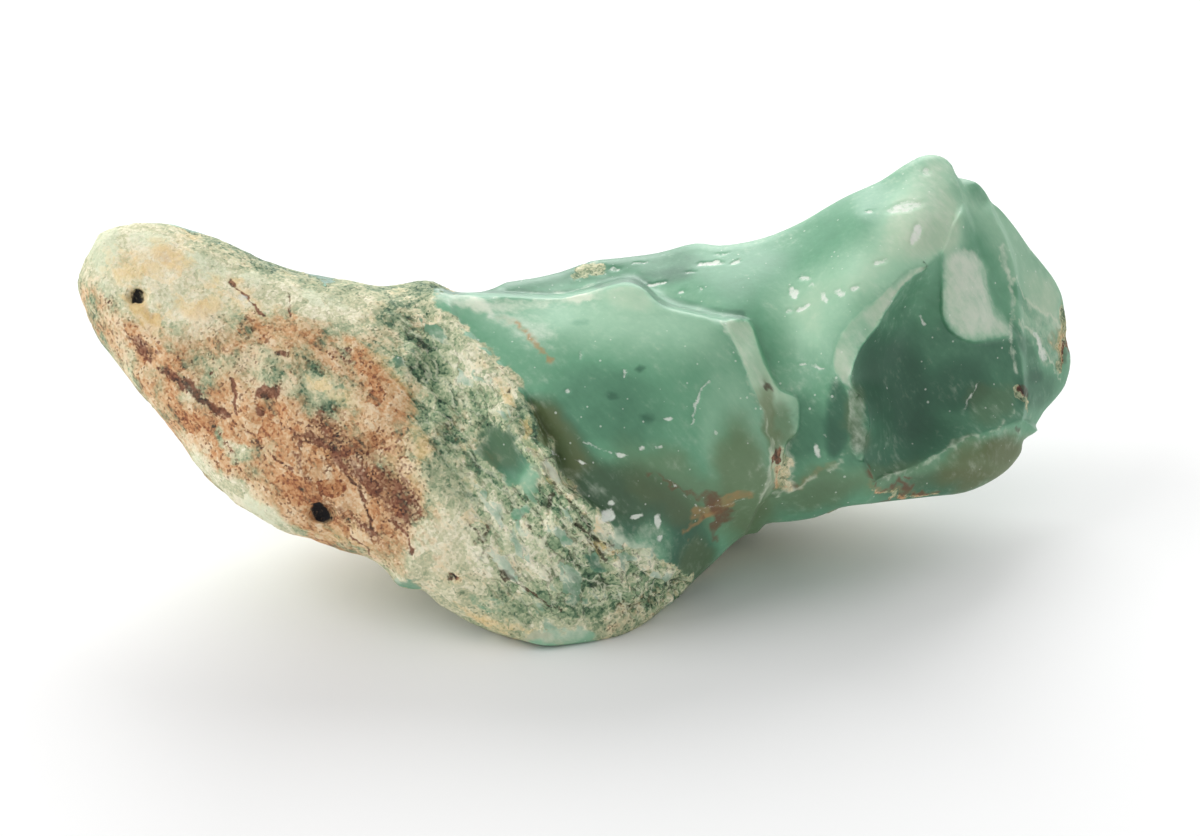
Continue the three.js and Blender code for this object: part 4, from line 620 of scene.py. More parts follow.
# Spots: along, up, half the length, half the width, the turn in degrees, and the strength.
SPOTS = {
    "rind": [
        # glassy hollow in the granular zone
        (-6.4, -3.2, 3.19, 1.52, -53, -0.95),
        # small glassy lenses round it
        (-6.1, -6.8, 0.72, 0.51, -40, -0.8),
        (-0.4, -10.5, 1.09, 0.58, -35, -0.8), (-7.4, -13.5, 2.46, 0.72, -22, -0.5),
        # translucent lobe
        (2.6, -8.3, 1.59, 0.94, -30, -0.85),
        (-2.5, -8.6, 0.58, 0.36, -50, -0.7),
        # translucent lip under the belly
        (-3.2, -16.1, 3.62, 0.87, 4, -0.8),
        # translucent nub on the lower rim
        (-13.9, -12.2, 1.16, 0.51, -25, -0.8),
        # waxy skin where the panel starts
        (-10.7, 8.1, 2.17, 1.01, -14, -0.5),
        # weathered skin at the far end
        (33.5, 5.7, 0.72, 3.04, -8, 0.9),
        # weathered knot
        (30.4, 1.4, 0.51, 0.8, 20, 0.8),
        # crevice at the foot of the bevel
        (13, -3.5, 0.8, 1.74, 8, 0.7),
        # granular knot on the dark slope
        (-0.9, 10.9, 1.09, 0.58, 12, 0.75),
    ],
    "rust": [
        (-20.4, -8.6, 1.59, 0.65, -15, 0.7),
        # stain under the first pit
        (-33.3, 5.2, 2.03, 1.09, -35, 0.75),
        # stain at the end of the crack
        (8.1, -7.2, 1.09, 0.65, -25, 0.75),
        # rusty crevice
        (13, -4.1, 0.58, 0.72, 0, 0.7),
        # weathered far end
        (33.6, 5.1, 0.51, 2.17, -5, 0.55),
        (-20.9, -8.1, 1.88, 0.72, -15, 0.6), (-18.1, -5.9, 2.03, 1.3, -40, 0.6),
        (-22.6, 6.4, 3.04, 1.74, -25, 0.45), (-27.9, 6.4, 2.03, 1.3, -25, 0.3),
        (-31.5, 3.8, 1.45, 1.01, -38, 0.4), (-20.7, -8.6, 1.74, 0.51, -15, 0.6),
        (-16.8, -4.6, 1.88, 1.3, -45, 0.65), (-19.4, -3.5, 1.45, 0.87, -40, 0.5),
        (-26.7, -2.3, 1.01, 0.65, -35, -0.6), (-20.1, 2, 1.59, 1.01, 0, -0.7),
        # the greyer window round the bleached patch
        (-21.2, 2.8, 3.62, 2.75, -20, -0.6),
        (-25, 4.2, 2.46, 1.45, -20, -0.35),
    ],
    "brown": [
        (-33.2, 5.1, 1.38, 0.72, -38, 0.58), (-24.1, 2, 0.8, 0.65, 0, 0.75),
        (-24.6, 0.3, 0.36, 0.36, 0, 0.7), (-28, 3.4, 0.29, 0.22, 0, 0.7), (-23, 4.8, 0.58, 0.29, 0, 0.6),
        (-26.5, 9.6, 0.36, 0.29, -30, 0.7), (-18.5, 4.4, 1.09, 0.51, -35, 0.45),
        (-35.4, 8.3, 0.58, 0.58, 0, 0.35),
        # small pit
        (-10.7, -11.5, 0.51, 0.43, 0, 0.6),
        (-6.7, -11.5, 0.58, 0.36, -30, 0.55), (-8.6, -8.5, 0.51, 0.72, -40, 0.45),
        # dark crevice under the hollow
        (-3.6, -5.9, 0.29, 0.65, -30, 0.8),
        (-17.1, -4.9, 1.74, 0.58, -48, 0.35),
        # spot on the bevel
        (12.2, 2.3, 0.43, 0.29, -40, 0.8),
        # crevice
        (12.8, -2.7, 0.29, 0.72, 0, 0.85),
        (7.3, -7.3, 0.43, 0.29, -30, 0.55),
        # knot
        (30.7, 1.9, 0.36, 0.58, 15, 0.7),
        (30.3, -0.7, 0.22, 0.43, 0, 0.6), (33.9, 4.8, 0.29, 1.3, -5, 0.5),
    ],
    "ochre": [
        (-34.2, 10.9, 0.94, 1.45, -30, 0.62), (-30.6, 11.6, 1.88, 0.87, -25, 0.45),
        # ring of the first pit
        (-33.5, 8.7, 1.09, 0.94, 0, 0.85),
        (-32.8, 7.4, 1.45, 0.72, -20, 0.85), (-28.3, 8.1, 0.94, 0.65, -20, 0.6),
        (-26.4, 9.8, 0.58, 0.51, 0, 0.7), (-29.3, 8.8, 2.17, 1.59, -20, 0.28),
        (-26.1, 8.6, 2.9, 1.45, -25, 0.5), (-22.5, 6, 2.9, 1.59, -25, 0.4),
        # orange spot
        (-20.1, -2.8, 0.94, 0.72, 0, 0.9),
        (-18.4, -8.3, 2.03, 0.87, -20, 0.6), (-20.7, -8.4, 1.74, 0.58, -15, 0.5),
        (-14.1, -5.9, 2.17, 1.3, -50, 0.5), (-14.5, -3.8, 1.59, 0.87, -45, 0.5),
        (-17.4, 1.3, 4.35, 4.35, -50, 0.3), (-21.7, -5.9, 4.35, 2.17, -30, 0.3),
        (-8.7, -3.8, 1.59, 2.17, -50, 0.25), (-4.7, -15.7, 1.01, 0.43, 0, 0.4),
        # dirt in the ledge
        (0, -9.4, 0.87, 0.65, -50, 0.6),
        (7.2, -7.1, 1.01, 0.58, -15, 0.6), (33.2, 5.7, 0.72, 1.88, 0, 0.5),
        (-10.7, -11.6, 0.87, 0.65, 0, 0.4), (-11.6, -9.4, 2.32, 2.61, -30, 0.45),
        (-20.1, 2, 1.45, 0.87, 0, 0.5), (-5.8, 6.4, 1.74, 0.65, -30, 0.35),
    ],
    "cream": [
        (-26.1, -5.2, 1.16, 0.65, -35, 0.6), (-26.7, -2.3, 0.94, 0.58, -35, 0.5),
        (-12.3, -13.2, 4.35, 1.45, -25, 0.3),
        # pale chip
        (-25.9, 8.7, 0.94, 0.58, -30, 0.95),
        # smooth bleached patch
        (-20.1, 2, 1.52, 0.94, 0, 0.7),
        (-28.6, 0.9, 2.17, 0.94, -40, 0.4), (-29.3, 1.3, 1.01, 0.72, -30, 0.4),
        # paler belly
        (-10.9, -10.3, 3.62, 2.9, -20, 0.3),
        (-7.2, -8.8, 4.35, 2.9, -30, 0.3), (-9.4, -5.9, 2.9, 2.9, -30, 0.25),
        # peach
        (-11.6, -9.4, 2.32, 2.61, -30, 1),
        (-5.8, -11.4, 3.62, 2.17, -25, 0.35), (3.5, -9.2, 1.74, 1.74, 0, 0.35),
        (-8.8, 8.3, 1.16, 0.43, -15, 0.6), (-1.3, 8.8, 1.09, 0.33, 15, 0.95),
        (31.9, 6.4, 1.3, 2.9, 12, 0.35), (-3.2, -15.4, 2.9, 1.01, 4, 0.6),
        (-26.1, 10.7, 1.88, 0.58, -22, 0.5), (-0.9, 11.2, 0.87, 0.29, 12, 0.5),
    ],
    "deep": [
        (-12.3, -3.8, 2.9, 1.88, -60, 0.4),
        # shaded side of the hollow
        (-7.4, -1.9, 2.75, 1.59, -53, 0.5),
        (-0.4, -10.5, 1.01, 0.51, -35, 0.5), (-0.9, -14.1, 2.17, 0.36, 4, 0.7),
        # grey green patches
        (-20.4, 3.8, 1.38, 0.65, -30, 0.7),
        (-21.8, 1.8, 0.65, 0.87, 30, 0.6), (-23.7, 3.6, 1.01, 0.51, -20, 0.5),
        (-19.1, 0.9, 0.8, 0.58, -20, 0.6), (-26.1, 6.4, 3.26, 1.01, -25, 0.35),
        (-35.9, 10.7, 0.65, 0.87, 20, 0.3), (0, -5.1, 3.04, 1.59, -35, 0.75),
        # green heart of the panel
        (0.7, 0.9, 4.35, 2.9, -20, 0.24),
        (2.9, 3.6, 0.36, 0.22, 0, 0.5), (0.9, 1.6, 0.43, 0.29, 0, 0.4), (3.5, 0, 0.51, 0.29, 0, 0.4),
        (-1.4, 7, 0.65, 0.22, 0, 0.3),
        # foot of the saddle
        (14.5, -0.7, 2.17, 2.61, 0, 0.36),
        # its darkest side, painted shade under the blade
        (21.4, 2.2, 2.61, 4.35, 25, 0.68),
        (21.7, -2, 4.35, 1.45, 12, 0.35), (26.1, 2.4, 2.17, 1.88, 20, 0.55),
        # facet
        (15.6, -5.9, 3.33, 1.16, 15, 0.15),
        (4.3, 10.2, 2.32, 0.65, 5, 0.3), (18.6, -0.9, 0.65, 1.16, 0, 0.3),
        # lip
        (24.6, -4.8, 4.35, 1.01, 10, 0.5),
        (-2.9, -13.6, 2.17, 0.29, -12, 0.25), (31.5, 2, 1.59, 1.45, 40, 0.4),
        (18.7, -0.1, 0.87, 2.46, 0, 0.2), (10.3, -4.5, 1.88, 4.35, 10, 0.25),
        (13.3, -0.6, 0.65, 1.3, 0, 0.4), (29, -2.3, 1.45, 1.01, 20, 0.4),
    ],
    "pale": [
        (17.8, 7.1, 1.88, 2.17, 0, -0.25),
        # paler top of the hollow
        (24.3, 8.8, 1.59, 2.46, -30, 0.3),
        # pale bump, painted light shining through it
        (2.3, 8.8, 2.17, 1.01, -10, 0.65),
        # pale edge of the panel, partly bruised and partly painted light shining through the thin edge
        (9.8, -1.6, 2.46, 5.51, 10, 0.35),
        (25.2, 14, 1.09, 2.17, 5, 0.85),
        # translucent lobe, painted light shining through it
        (4, -8.8, 1.45, 1.74, 0, 0.55),
        # lip under the belly, painted light on the thin lip
        (-2.9, -15.9, 3.33, 0.72, 4, 0.6),
        # lit side of the hollow
        (-4.9, -4.3, 0.72, 1.74, -30, 0.55),
        (32.8, 9.3, 0.72, 2.17, -15, 0.4), (32, 8.6, 1.16, 2.17, 25, 0.4),
        # mint chips of the tip
        (-35.9, 12.3, 1.16, 1.88, -20, 0.9),
        (-32.6, 13, 1.88, 0.65, -5, 0.6), (-28.6, 11, 1.88, 1.01, -30, 0.7),
        (-31.3, 8.6, 1.16, 0.72, -20, 0.5), (-35.9, 9.3, 0.72, 0.87, 0, 0.6),
        (-25.4, 10.3, 1.88, 0.58, -22, 0.5), (-19.6, 8.8, 2.46, 0.87, -12, 0.5),
        (-29, -3.6, 1.88, 0.58, -42, 0.5), (-24.5, -6.8, 1.88, 0.58, -30, 0.5),
        (-18.1, -10.4, 2.17, 0.65, -20, 0.5),
    ],
    "olive": [
        (-7.4, -1.9, 2.46, 1.45, -53, 0.35), (0.7, -5.2, 4.35, 1.88, -35, 0.3),
        (18.7, -0.1, 0.87, 2.46, 0, 0.5),
        # round the stained crack
        (5.2, -4.9, 4.49, 2.17, -35, 0.55),
        (7.2, -10.3, 1.59, 1.59, 0, 0.5), (10.4, -4.8, 2.17, 4.78, 10, 0.75),
        (13.2, -0.4, 0.72, 1.59, 0, 0.6),
        # olive stain of the bevel
        (12.3, -0.1, 0.65, 2.75, 8, 0.8),
        # right end of the lip
        (27.9, -3.2, 3.62, 1.74, 20, 1),
        # facet under the saddle
        (15.6, -5.1, 3.77, 1.59, 12, 0.55),
        (21.7, -4.3, 3.33, 1.16, 10, 0.4), (28.3, 1.3, 1.74, 1.45, 20, 0.35),
        (-4.3, -0.5, 1.45, 1.3, -30, 0.4),
    ],
    "frost": [
        (15.6, -5.9, 2.9, 1.01, 15, 0.12), (-8.7, 8.3, 2.17, 0.36, -8, 0.4), (18.8, 0, 0.87, 2.46, 0, 0.05),
        (-9.4, 8.6, 3.62, 0.72, -6, 0.2),
    ],
    "pit": [
        # first pit
        (-33.6, 8.8, 0.58, 0.43, -20, 0.75),
        # second pit
        (-20.2, -6.9, 0.87, 0.51, -30, 1),
        # small pit
        (-10.7, -11.5, 0.25, 0.22, 0, 0.8),
        # small pit on the rim
        (-27, -5.9, 0.22, 0.14, 0, 0.8),
        # small pit in the ledge
        (-6.7, 2, 0.18, 0.14, 0, 0.5),
        # knot
        (30.6, 2, 0.22, 0.29, 0, 0.5),
    ],
    "bruise": [
        (0.58, -7.03, 0.51, 0.58, -20, 1), (0.87, -6.23, 0.29, 0.18, 0, 1),
        (2.61, -7.17, 0.58, 0.19, 18, 1), (4.2, -7.54, 0.22, 0.65, 0, 1), (4.35, -8.7, 0.29, 0.29, 0, 0.9),
        (-1.3, -3.26, 0.43, 0.14, -15, 0.9), (-3.41, -2.32, 0.51, 0.14, -40, 0.8),
        (1.52, -2.68, 0.43, 0.17, -10, 1), (2.97, -2.17, 0.29, 0.14, 20, 0.9),
        (4.2, -2.1, 0.43, 0.14, -25, 0.7), (4.93, -0.07, 0.33, 0.12, -8, 0.9),
        (-2.32, 1.96, 0.29, 0.19, 0, 0.8), (-1.38, 4.57, 0.14, 0.36, 0, 0.6),
        (1.74, 3.26, 0.14, 0.29, 10, 0.8), (8.41, -1.01, 0.14, 0.29, 20, 0.7),
        # flat chips behind the panel
        (7.97, 11.23, 1.01, 0.19, 6, 0.95),
        (9.78, 11.3, 0.43, 0.14, 20, 0.8), (1.01, 10.8, 0.51, 0.14, 8, 0.7), (2.9, 11.3, 0.65, 0.1, 8, 0.6),
        (6.52, 10.58, 0.43, 0.1, 4, 0.6), (5.94, 9.13, 0.22, 0.12, 10, 0.7),
        (7.25, 9.35, 0.14, 0.12, 0, 0.6), (8.84, 11.88, 0.58, 0.14, 12, 0.5),
        # chips of the saddle
        (13.99, 9.13, 0.36, 0.43, 20, 0.95),
        (14.86, 10.14, 0.43, 0.29, 0, 0.8), (14.71, 7.97, 0.65, 0.22, 22, 0.95),
        (13.7, 7.75, 0.29, 0.22, 0, 0.6), (16.23, 8.77, 0.25, 0.43, 15, 0.8),
        (17.39, 9.06, 0.43, 0.29, -25, 0.8), (15.36, 9.64, 0.22, 0.14, 0, 0.5),
        (18.48, 9.42, 0.36, 0.22, 10, 0.8), (15.8, -2.39, 0.22, 0.58, 15, 0.9),
        (16.3, -1.3, 0.14, 0.29, 20, 0.6),
        # flat chips near the peak
        (22.1, 15.29, 1.38, 0.36, 12, 0.8),
        (22.9, 13.33, 0.36, 0.87, -20, 0.9), (20.29, 11.3, 0.58, 0.22, 8, 0.6),
        (19.49, 14.93, 0.36, 0.11, 0, 0.7), (23.62, 17.83, 0.29, 0.29, 0, 0.6),
        (-25.87, 8.77, 0.43, 0.29, -30, 0.7),
    ],
}

# ---- Small tools ---------------------------------------------------------------------------------


def smoothstep(value, low, high):
    t = np.clip((value - low) / (high - low), 0, 1)
    return t * t * (3 - 2 * t)


def round_max(a, b, width):
    """The larger of two gaps, with the edge between them rounded over the given width."""
    near = np.maximum(width - np.abs(a - b), 0)
    return np.maximum(a, b) + near * near / (4 * width)


def lumps(x, y, z, size):
    """Uneven lumps about `size` apart, between -1 and 1, as on the solid."""
    a, b, c = (2 * math.pi / size * value for value in (x, y, z))
    first = np.sin(a + LUMP_WARP * np.sin(0.6 * b + 1.1 * c + 1))
    second = np.sin(b + LUMP_WARP * np.sin(0.7 * c + 0.9 * a + 2))
    third = np.sin(c + LUMP_WARP * np.sin(0.8 * a + 0.7 * b + 3))
    return (first + second + third) / 3


def entry(order, cells):
    """A number from 0 to 255 for each cell [i, j, k], mixed by the given order."""
    i, j, k = (cells & 255).T
    return order[(order[(order[i] + j) & 255] + k) & 255]


def noise(spots, size, seed):
    """Smooth noise between about -1 and 1, with its lumps `size` apart, at spots [count, 3]."""
    draw = np.random.default_rng(seed)
    order = draw.permutation(256)
    slopes = draw.normal(size=(256, 3))
    slopes /= np.linalg.norm(slopes, axis=1, keepdims=True)
    place = spots / size
    corner = np.floor(place).astype(int)
    inner = place - corner
    ease = inner**3 * (inner * (inner * 6 - 15) + 10)
    total = np.zeros(len(spots))
    for step in np.ndindex(2, 2, 2):
        share = np.where(step, ease, 1 - ease).prod(axis=1)
        total += share * ((inner - step) * slopes[entry(order, corner + step)]).sum(axis=1)
    return total * 1.6


def rough_noise(spots, size, seed, layers):
    """Several layers of noise, each half as large and half as high as the one before."""
    return sum(0.5**i * noise(spots, size * 0.5**i, seed + i) for i in range(layers)) / 1.5


def facets(spots, size, seed):
    """Broken facets about `size` across: the height of the nearest one's tilted plane."""
    draw = np.random.default_rng(seed)
    order = draw.permutation(256)
    middle = draw.random((256, 3))
    tilt = draw.normal(size=(256, 3)) / 2
    place = spots / size
    corner = np.floor(place).astype(int)
    nearest = np.full(len(spots), np.inf)
    height = np.zeros(len(spots))
    for step in np.ndindex(3, 3, 3):
        cell = corner + step - 1
        pick = entry(order, cell)
        away = place - cell - middle[pick]
        far = (away**2).sum(axis=1)
        nearer = far < nearest
        nearest = np.where(nearer, far, nearest)
        height = np.where(nearer, (away * tilt[pick]).sum(axis=1), height)
    return height


def smooth_line(places, closed):
    """A smooth line through places [along, up], in short straight steps."""
    spots = np.array([place[:2] for place in places], float)
    if closed:
        spots = np.vstack([spots[-1:], spots, spots[:2]])
    else:
        spots = np.vstack([2 * spots[:1] - spots[1:2], spots, 2 * spots[-1:] - spots[-2:-1]])
    p0, p1, p2, p3 = spots[:-3], spots[1:-2], spots[2:-1], spots[3:]
    gaps = [np.sqrt(np.linalg.norm(b - a, axis=1))[:, None] + 1e-6 for a, b in ((p0, p1), (p1, p2), (p2, p3))]
    t1, t2, t3 = np.cumsum(gaps, axis=0)
    steps = []
    for k in range(LINE_STEPS):
        t = t1 + (t2 - t1) * k / LINE_STEPS
        a = (t1 - t) / t1 * p0 + t / t1 * p1
        b = (t2 - t) / (t2 - t1) * p1 + (t - t1) / (t2 - t1) * p2
        c = (t3 - t) / (t3 - t2) * p2 + (t - t2) / (t3 - t2) * p3
        d = (t2 - t) / t2 * a + t / t2 * b
        e = (t3 - t) / (t3 - t1) * b + (t - t1) / (t3 - t1) * c
        steps.append((t2 - t) / (t2 - t1) * d + (t - t1) / (t2 - t1) * e)
    line = np.stack(steps, axis=1).reshape(-1, 2)
    return line if closed else np.vstack([line, spots[-2:-1]])


def distance_to(line, x, y, closed):
    """Distance from places to a line, less than zero inside a closed one."""
    starts = line if closed else line[:-1]
    ends = np.roll(line, -1, axis=0) if closed else line[1:]
    nearest = np.full(x.shape, np.inf)
    inside = np.zeros(x.shape, bool)
    for (ax, ay), (bx, by) in zip(starts, ends):
        dx, dy = bx - ax, by - ay
        t = np.clip(((x - ax) * dx + (y - ay) * dy) / (dx * dx + dy * dy + 1e-12), 0, 1)
        nearest = np.minimum(nearest, (x - ax - t * dx) ** 2 + (y - ay - t * dy) ** 2)
        if closed and ay != by:
            inside ^= ((ay > y) != (by > y)) & (x < dx * (y - ay) / dy + ax)
    away = np.sqrt(nearest)
    return np.where(inside, -away, away)


def thin_plate(places):
    """The depth of a thin plate that is bent through places [along, up, out]."""
    spots = np.array(places, float)
    count = len(spots)

    def bend(x, y):
        squared = x * x + y * y
        return 0.5 * squared * np.log(np.maximum(squared, 1e-12))

    rows = np.zeros((count + 3, count + 3))
    rows[:count, :count] = bend(*(spots[:, None, :2] - spots[None, :, :2]).transpose(2, 0, 1))
    rows[range(count), range(count)] = PLATE_EASE
    rows[:count, count] = rows[count, :count] = 1
    rows[:count, count + 1 :] = spots[:, :2]
    rows[count + 1 :, :count] = spots[:, :2].T
    *pulls, level, slope_x, slope_y = np.linalg.solve(rows, np.append(spots[:, 2], [0, 0, 0]))

    def depth(x, y):
        total = level + slope_x * x + slope_y * y
        for (px, py, _), pull in zip(spots, pulls):
            total = total + pull * bend(x - px, y - py)
        return total

    return depth


# ---- The form of the stone: a gap that is zero on its surface ------------------------------------

LEAN_SIN = math.sin(math.radians(LEAN))
LEAN_COS = math.cos(math.radians(LEAN))
COLUMNS = round((CHART_EDGES[2] - CHART_EDGES[0]) / CELL) + 1
ROWS = round((CHART_EDGES[3] - CHART_EDGES[1]) / CELL) + 1
CHART_X, CHART_Y = np.meshgrid(
    CHART_EDGES[0] + CELL * np.arange(COLUMNS), CHART_EDGES[1] + CELL * np.arange(ROWS)
)


def ledge_axes(x, y):
    """How far places lie across the rind's ledges, and along them as if the ledges weren't stretched."""
    turn_cos, turn_sin = math.cos(math.radians(LEDGE_TURN)), math.sin(math.radians(LEDGE_TURN))
    return x * turn_cos + y * turn_sin, (y * turn_cos - x * turn_sin) / LEDGE_STRETCH


def rind_relief(x, y):
    """Fibrous ledges that run down and to the right across the rind, with lumps between them."""
    ledges = lumps(*ledge_axes(x, y), 0.3, LEDGE_SPACING)
    return LEDGE_SHARE * ledges + (1 - LEDGE_SHARE) * lumps(x, y, 1.7, LUMP_SPACING)


def front_depth():
    """Depth of the front on the chart: each face lies over the ones before it."""
    depth = thin_plate(FRONT_FACES[0][1])(CHART_X, CHART_Y)
    for loop, places, ramp, rough in FRONT_FACES:
        line = smooth_line(loop, closed=True)
        low, high = line.min(axis=0) - ramp, line.max(axis=0) + ramp
        near = (CHART_X > low[0]) & (CHART_X < high[0]) & (CHART_Y > low[1]) & (CHART_Y < high[1])
        x, y = CHART_X[near], CHART_Y[near]
        share = 1 - smoothstep(distance_to(line, x, y, closed=True), 0, ramp)
        over = thin_plate(places)(x, y) + rough * rind_relief(x, y)
        depth[near] += share * (over - depth[near])
    for (along, up), radius, squash, deep in PITS:
        away = np.hypot(CHART_X - along, (CHART_Y - up) * squash) / radius
        depth -= deep * np.exp(-(away**3))
    return depth


def chart_reader(values):
    """Reads what is known at every cell corner, smoothly between the corners."""

    def shares(t):
        return ((1 - t) ** 3, 3 * t**3 - 6 * t**2 + 4, -3 * t**3 + 3 * t**2 + 3 * t + 1, t**3)

    def read(x, y):
        cx = np.clip((x - CHART_EDGES[0]) / CELL, 1, COLUMNS - 3.001)
        cy = np.clip((y - CHART_EDGES[1]) / CELL, 1, ROWS - 3.001)
        column, row = cx.astype(int), cy.astype(int)
        total = 0
        for j, share_y in enumerate(shares(cy - row)):
            for i, share_x in enumerate(shares(cx - column)):
                total = total + share_x * share_y * values[row + j - 1, column + i - 1]
        return total / 36

    return read


front_values = front_depth()
slope_up, slope_along = np.gradient(front_values, CELL)
front_chart = chart_reader(front_values)
steep_chart = chart_reader(1 / np.sqrt(1 + slope_up**2 + slope_along**2))
side_chart = chart_reader(distance_to(smooth_line(OUTLINE, closed=True), CHART_X, CHART_Y, closed=True))
rim_chart = chart_reader(thin_plate(RIM)(CHART_X, CHART_Y))


def to_rest(places):
    """Places [along, up, out] as X, Y and Z from the middle of the broad face at floor level."""
    along, up, out = places.T
    narrow = (APEX - out) / APEX
    return np.column_stack(
        [
            along * narrow,
            up * narrow * LEAN_SIN - out * LEAN_COS,
            up * narrow * LEAN_COS + out * LEAN_SIN + FLOOR_DROP,
        ]
    )


def from_rest(rest):
    """The same the other way round."""
    x, y, z = rest.T
    out = (z - FLOOR_DROP) * LEAN_SIN - y * LEAN_COS
    narrow = (APEX - out) / APEX
    return np.column_stack([x / narrow, (y * LEAN_SIN + (z - FLOOR_DROP) * LEAN_COS) / narrow, out])


def gap_at(places):
    """How far places lie outside the stone, or inside it where the gap is below zero."""
    along, up, out = places.T
    rest = to_rest(places)
    side = side_chart(along, up)
    front = (out - front_chart(along, up)) * steep_chart(along, up)
    back = np.full(len(places), -np.inf)
    for at, facing in BREAKS:
        facing = np.array(facing) / np.linalg.norm(facing)
        back = round_max(back, (rest - at) @ facing, BREAK_ROUNDING)
    back = back + BACK_LUMPS * lumps(*rest.T, BACK_LUMP_SPACING)
    for middle, radius in SCARS:
        back = round_max(back, radius - np.linalg.norm(rest - middle, axis=1), SCAR_ROUNDING)
    skin = (rim_chart(along, up) - RIM_THICKNESS + RIM_SLOPE * np.minimum(side, 0) - out) * RIM_LEAN
    back = -round_max(-back, -skin, BREAK_ROUNDING)
    soft = 1 - smoothstep(along, SOFT_TO, SHARP_FROM)
    rounding = GLASS_ROUNDING + (RIND_ROUNDING - GLASS_ROUNDING) * soft
    solid = round_max(round_max(side, front, rounding), back, GLASS_ROUNDING)
    return np.maximum(solid, -rest[:, 2])


def slope_at(places):
    """Which way the gap grows, and how fast."""
    slope = np.empty_like(places)
    for axis in range(3):
        step = np.zeros(3)
        step[axis] = SLOPE_STEP
        slope[:, axis] = (gap_at(places + step) - gap_at(places - step)) / (2 * SLOPE_STEP)
    return slope


def settle(places, rounds):
    """Moves places straight onto the stone's surface."""
    for _ in range(rounds):
        slope = slope_at(places)
        steep = np.maximum((slope**2).sum(axis=1), LEAST_SLOPE)
        places = places - slope * (np.clip(gap_at(places), -LONGEST_MOVE, LONGEST_MOVE) / steep)[:, None]
    return places


def corner_sums(values, triangles, count):
    """Adds up what each triangle holds at its three corners."""
    return sum(np.bincount(triangles[:, i], weights=values, minlength=count) for i in range(3))


def crosses(places, triangles):
    """Square to each triangle, and twice its area long."""
    a, b, c = (places[triangles[:, i]] for i in range(3))
    return np.cross(b - a, c - a)


def facing_at(places):
    """Which way the surface faces."""
    slope = slope_at(places)
    return slope / np.linalg.norm(slope, axis=1, keepdims=True)


def sharpen(places, triangles):
    """Moves each corner to where the surface planes of the triangles round it meet."""
    middles = settle(places[triangles].mean(axis=1), SETTLE_ROUNDS)
    facing = facing_at(middles)
    height = (facing * middles).sum(axis=1)
    count = len(places)
    pull = np.empty((count, 3, 3))
    goal = np.empty((count, 3))
    for i in range(3):
        goal[:, i] = corner_sums(facing[:, i] * height, triangles, count)
        for j in range(3):
            pull[:, i, j] = corner_sums(facing[:, i] * facing[:, j], triangles, count)
    goal -= (pull @ places[:, :, None])[:, :, 0]
    move = np.linalg.solve(pull + SHARPEN_EASE * np.eye(3), goal[:, :, None])[:, :, 0]
    length = np.linalg.norm(move, axis=1, keepdims=True)
    move *= np.minimum(1, SHARPEN_REACH / np.maximum(length, 1e-9))
    before = crosses(places, triangles)
    for _ in range(UNFOLD_ROUNDS):
        now = crosses(places + move, triangles)
        turned = (now * before).sum(axis=1) < FOLD * np.linalg.norm(before, axis=1) ** 2
        move[np.unique(triangles[turned])] = 0
    return places + move


# ---- The finer stone: the solid's mesh, cut finer and laid on the same form ----------------------


def join(body):
    """A bmesh as places [along, up, out] in mm and the three corners of each triangle."""
    bmesh.ops.triangulate(body, faces=[face for face in body.faces if len(face.verts) > 3])
    body.verts.index_update()
    rest = np.array([corner.co for corner in body.verts]) / MM + (*REST_SPOT, 0)
    triangles = np.array([[corner.index for corner in face.verts] for face in body.faces])
    return from_rest(rest), triangles


def place_corners(body, places):
    """Puts the corners of a bmesh at places [along, up, out]."""
    for corner, co in zip(body.verts, (to_rest(places) - (*REST_SPOT, 0)) * MM):
        corner.co = co


def lay(body, rounds):
    """Lays the corners of a bmesh on the form, with its sharp edges kept sharp."""
    places, triangles = join(body)
    places = settle(places, SETTLE_ROUNDS)
    for _ in range(rounds):
        places = sharpen(places, triangles)
    place_corners(body, places)


def small_marks():
    """Middle and reach, in mm on the face, of every mark that needs a finer mesh."""
    for name in FINE_MARKS:
        for along, up, long, wide, _, _ in SPOTS.get(name, []):
            if max(long, wide) < FINE_REACH:
                yield (along, up), max(long, wide)
        for line, width, _ in STREAKS.get(name, []):
            if width < FINE_WIDTH:
                yield from ((place, width + FINE_SIDES) for place in smooth_line(line, closed=False))


def cut_fine(body):
    """Cuts the edges near the small marks of the front once more."""
    places, _ = join(body)
    near = np.full(len(places), False)
    for (along, up), reach in small_marks():
        near |= np.hypot(places[:, 0] - along, places[:, 1] - up) < reach + FINE_MARGIN
    near &= places[:, 2] > rim_chart(places[:, 0], places[:, 1]) + FINE_ABOVE
    edges = [edge for edge in body.edges if all(near[corner.index] for corner in edge.verts)]
    bmesh.ops.subdivide_edges(body, edges=edges, cuts=1)


stone = bmesh.new()
stone.from_mesh(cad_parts["chalcedony"].data)
bmesh.ops.remove_doubles(stone, verts=stone.verts, dist=JOIN_WITHIN * MM)
for _ in range(CUTS):
    bmesh.ops.subdivide_edges(stone, edges=stone.edges, cuts=1, use_grid_fill=True)
    lay(stone, SHARPEN_ROUNDS)
cut_fine(stone)
lay(stone, 1)
places, triangles = join(stone)
corners_round = 3 * corner_sums(np.ones(len(triangles)), triangles, len(places))


def mean_round(values):
    """The mean of what is known at the corners of the triangles that meet in each corner."""
    return corner_sums(values[triangles].sum(axis=1), triangles, len(values)) / corners_round


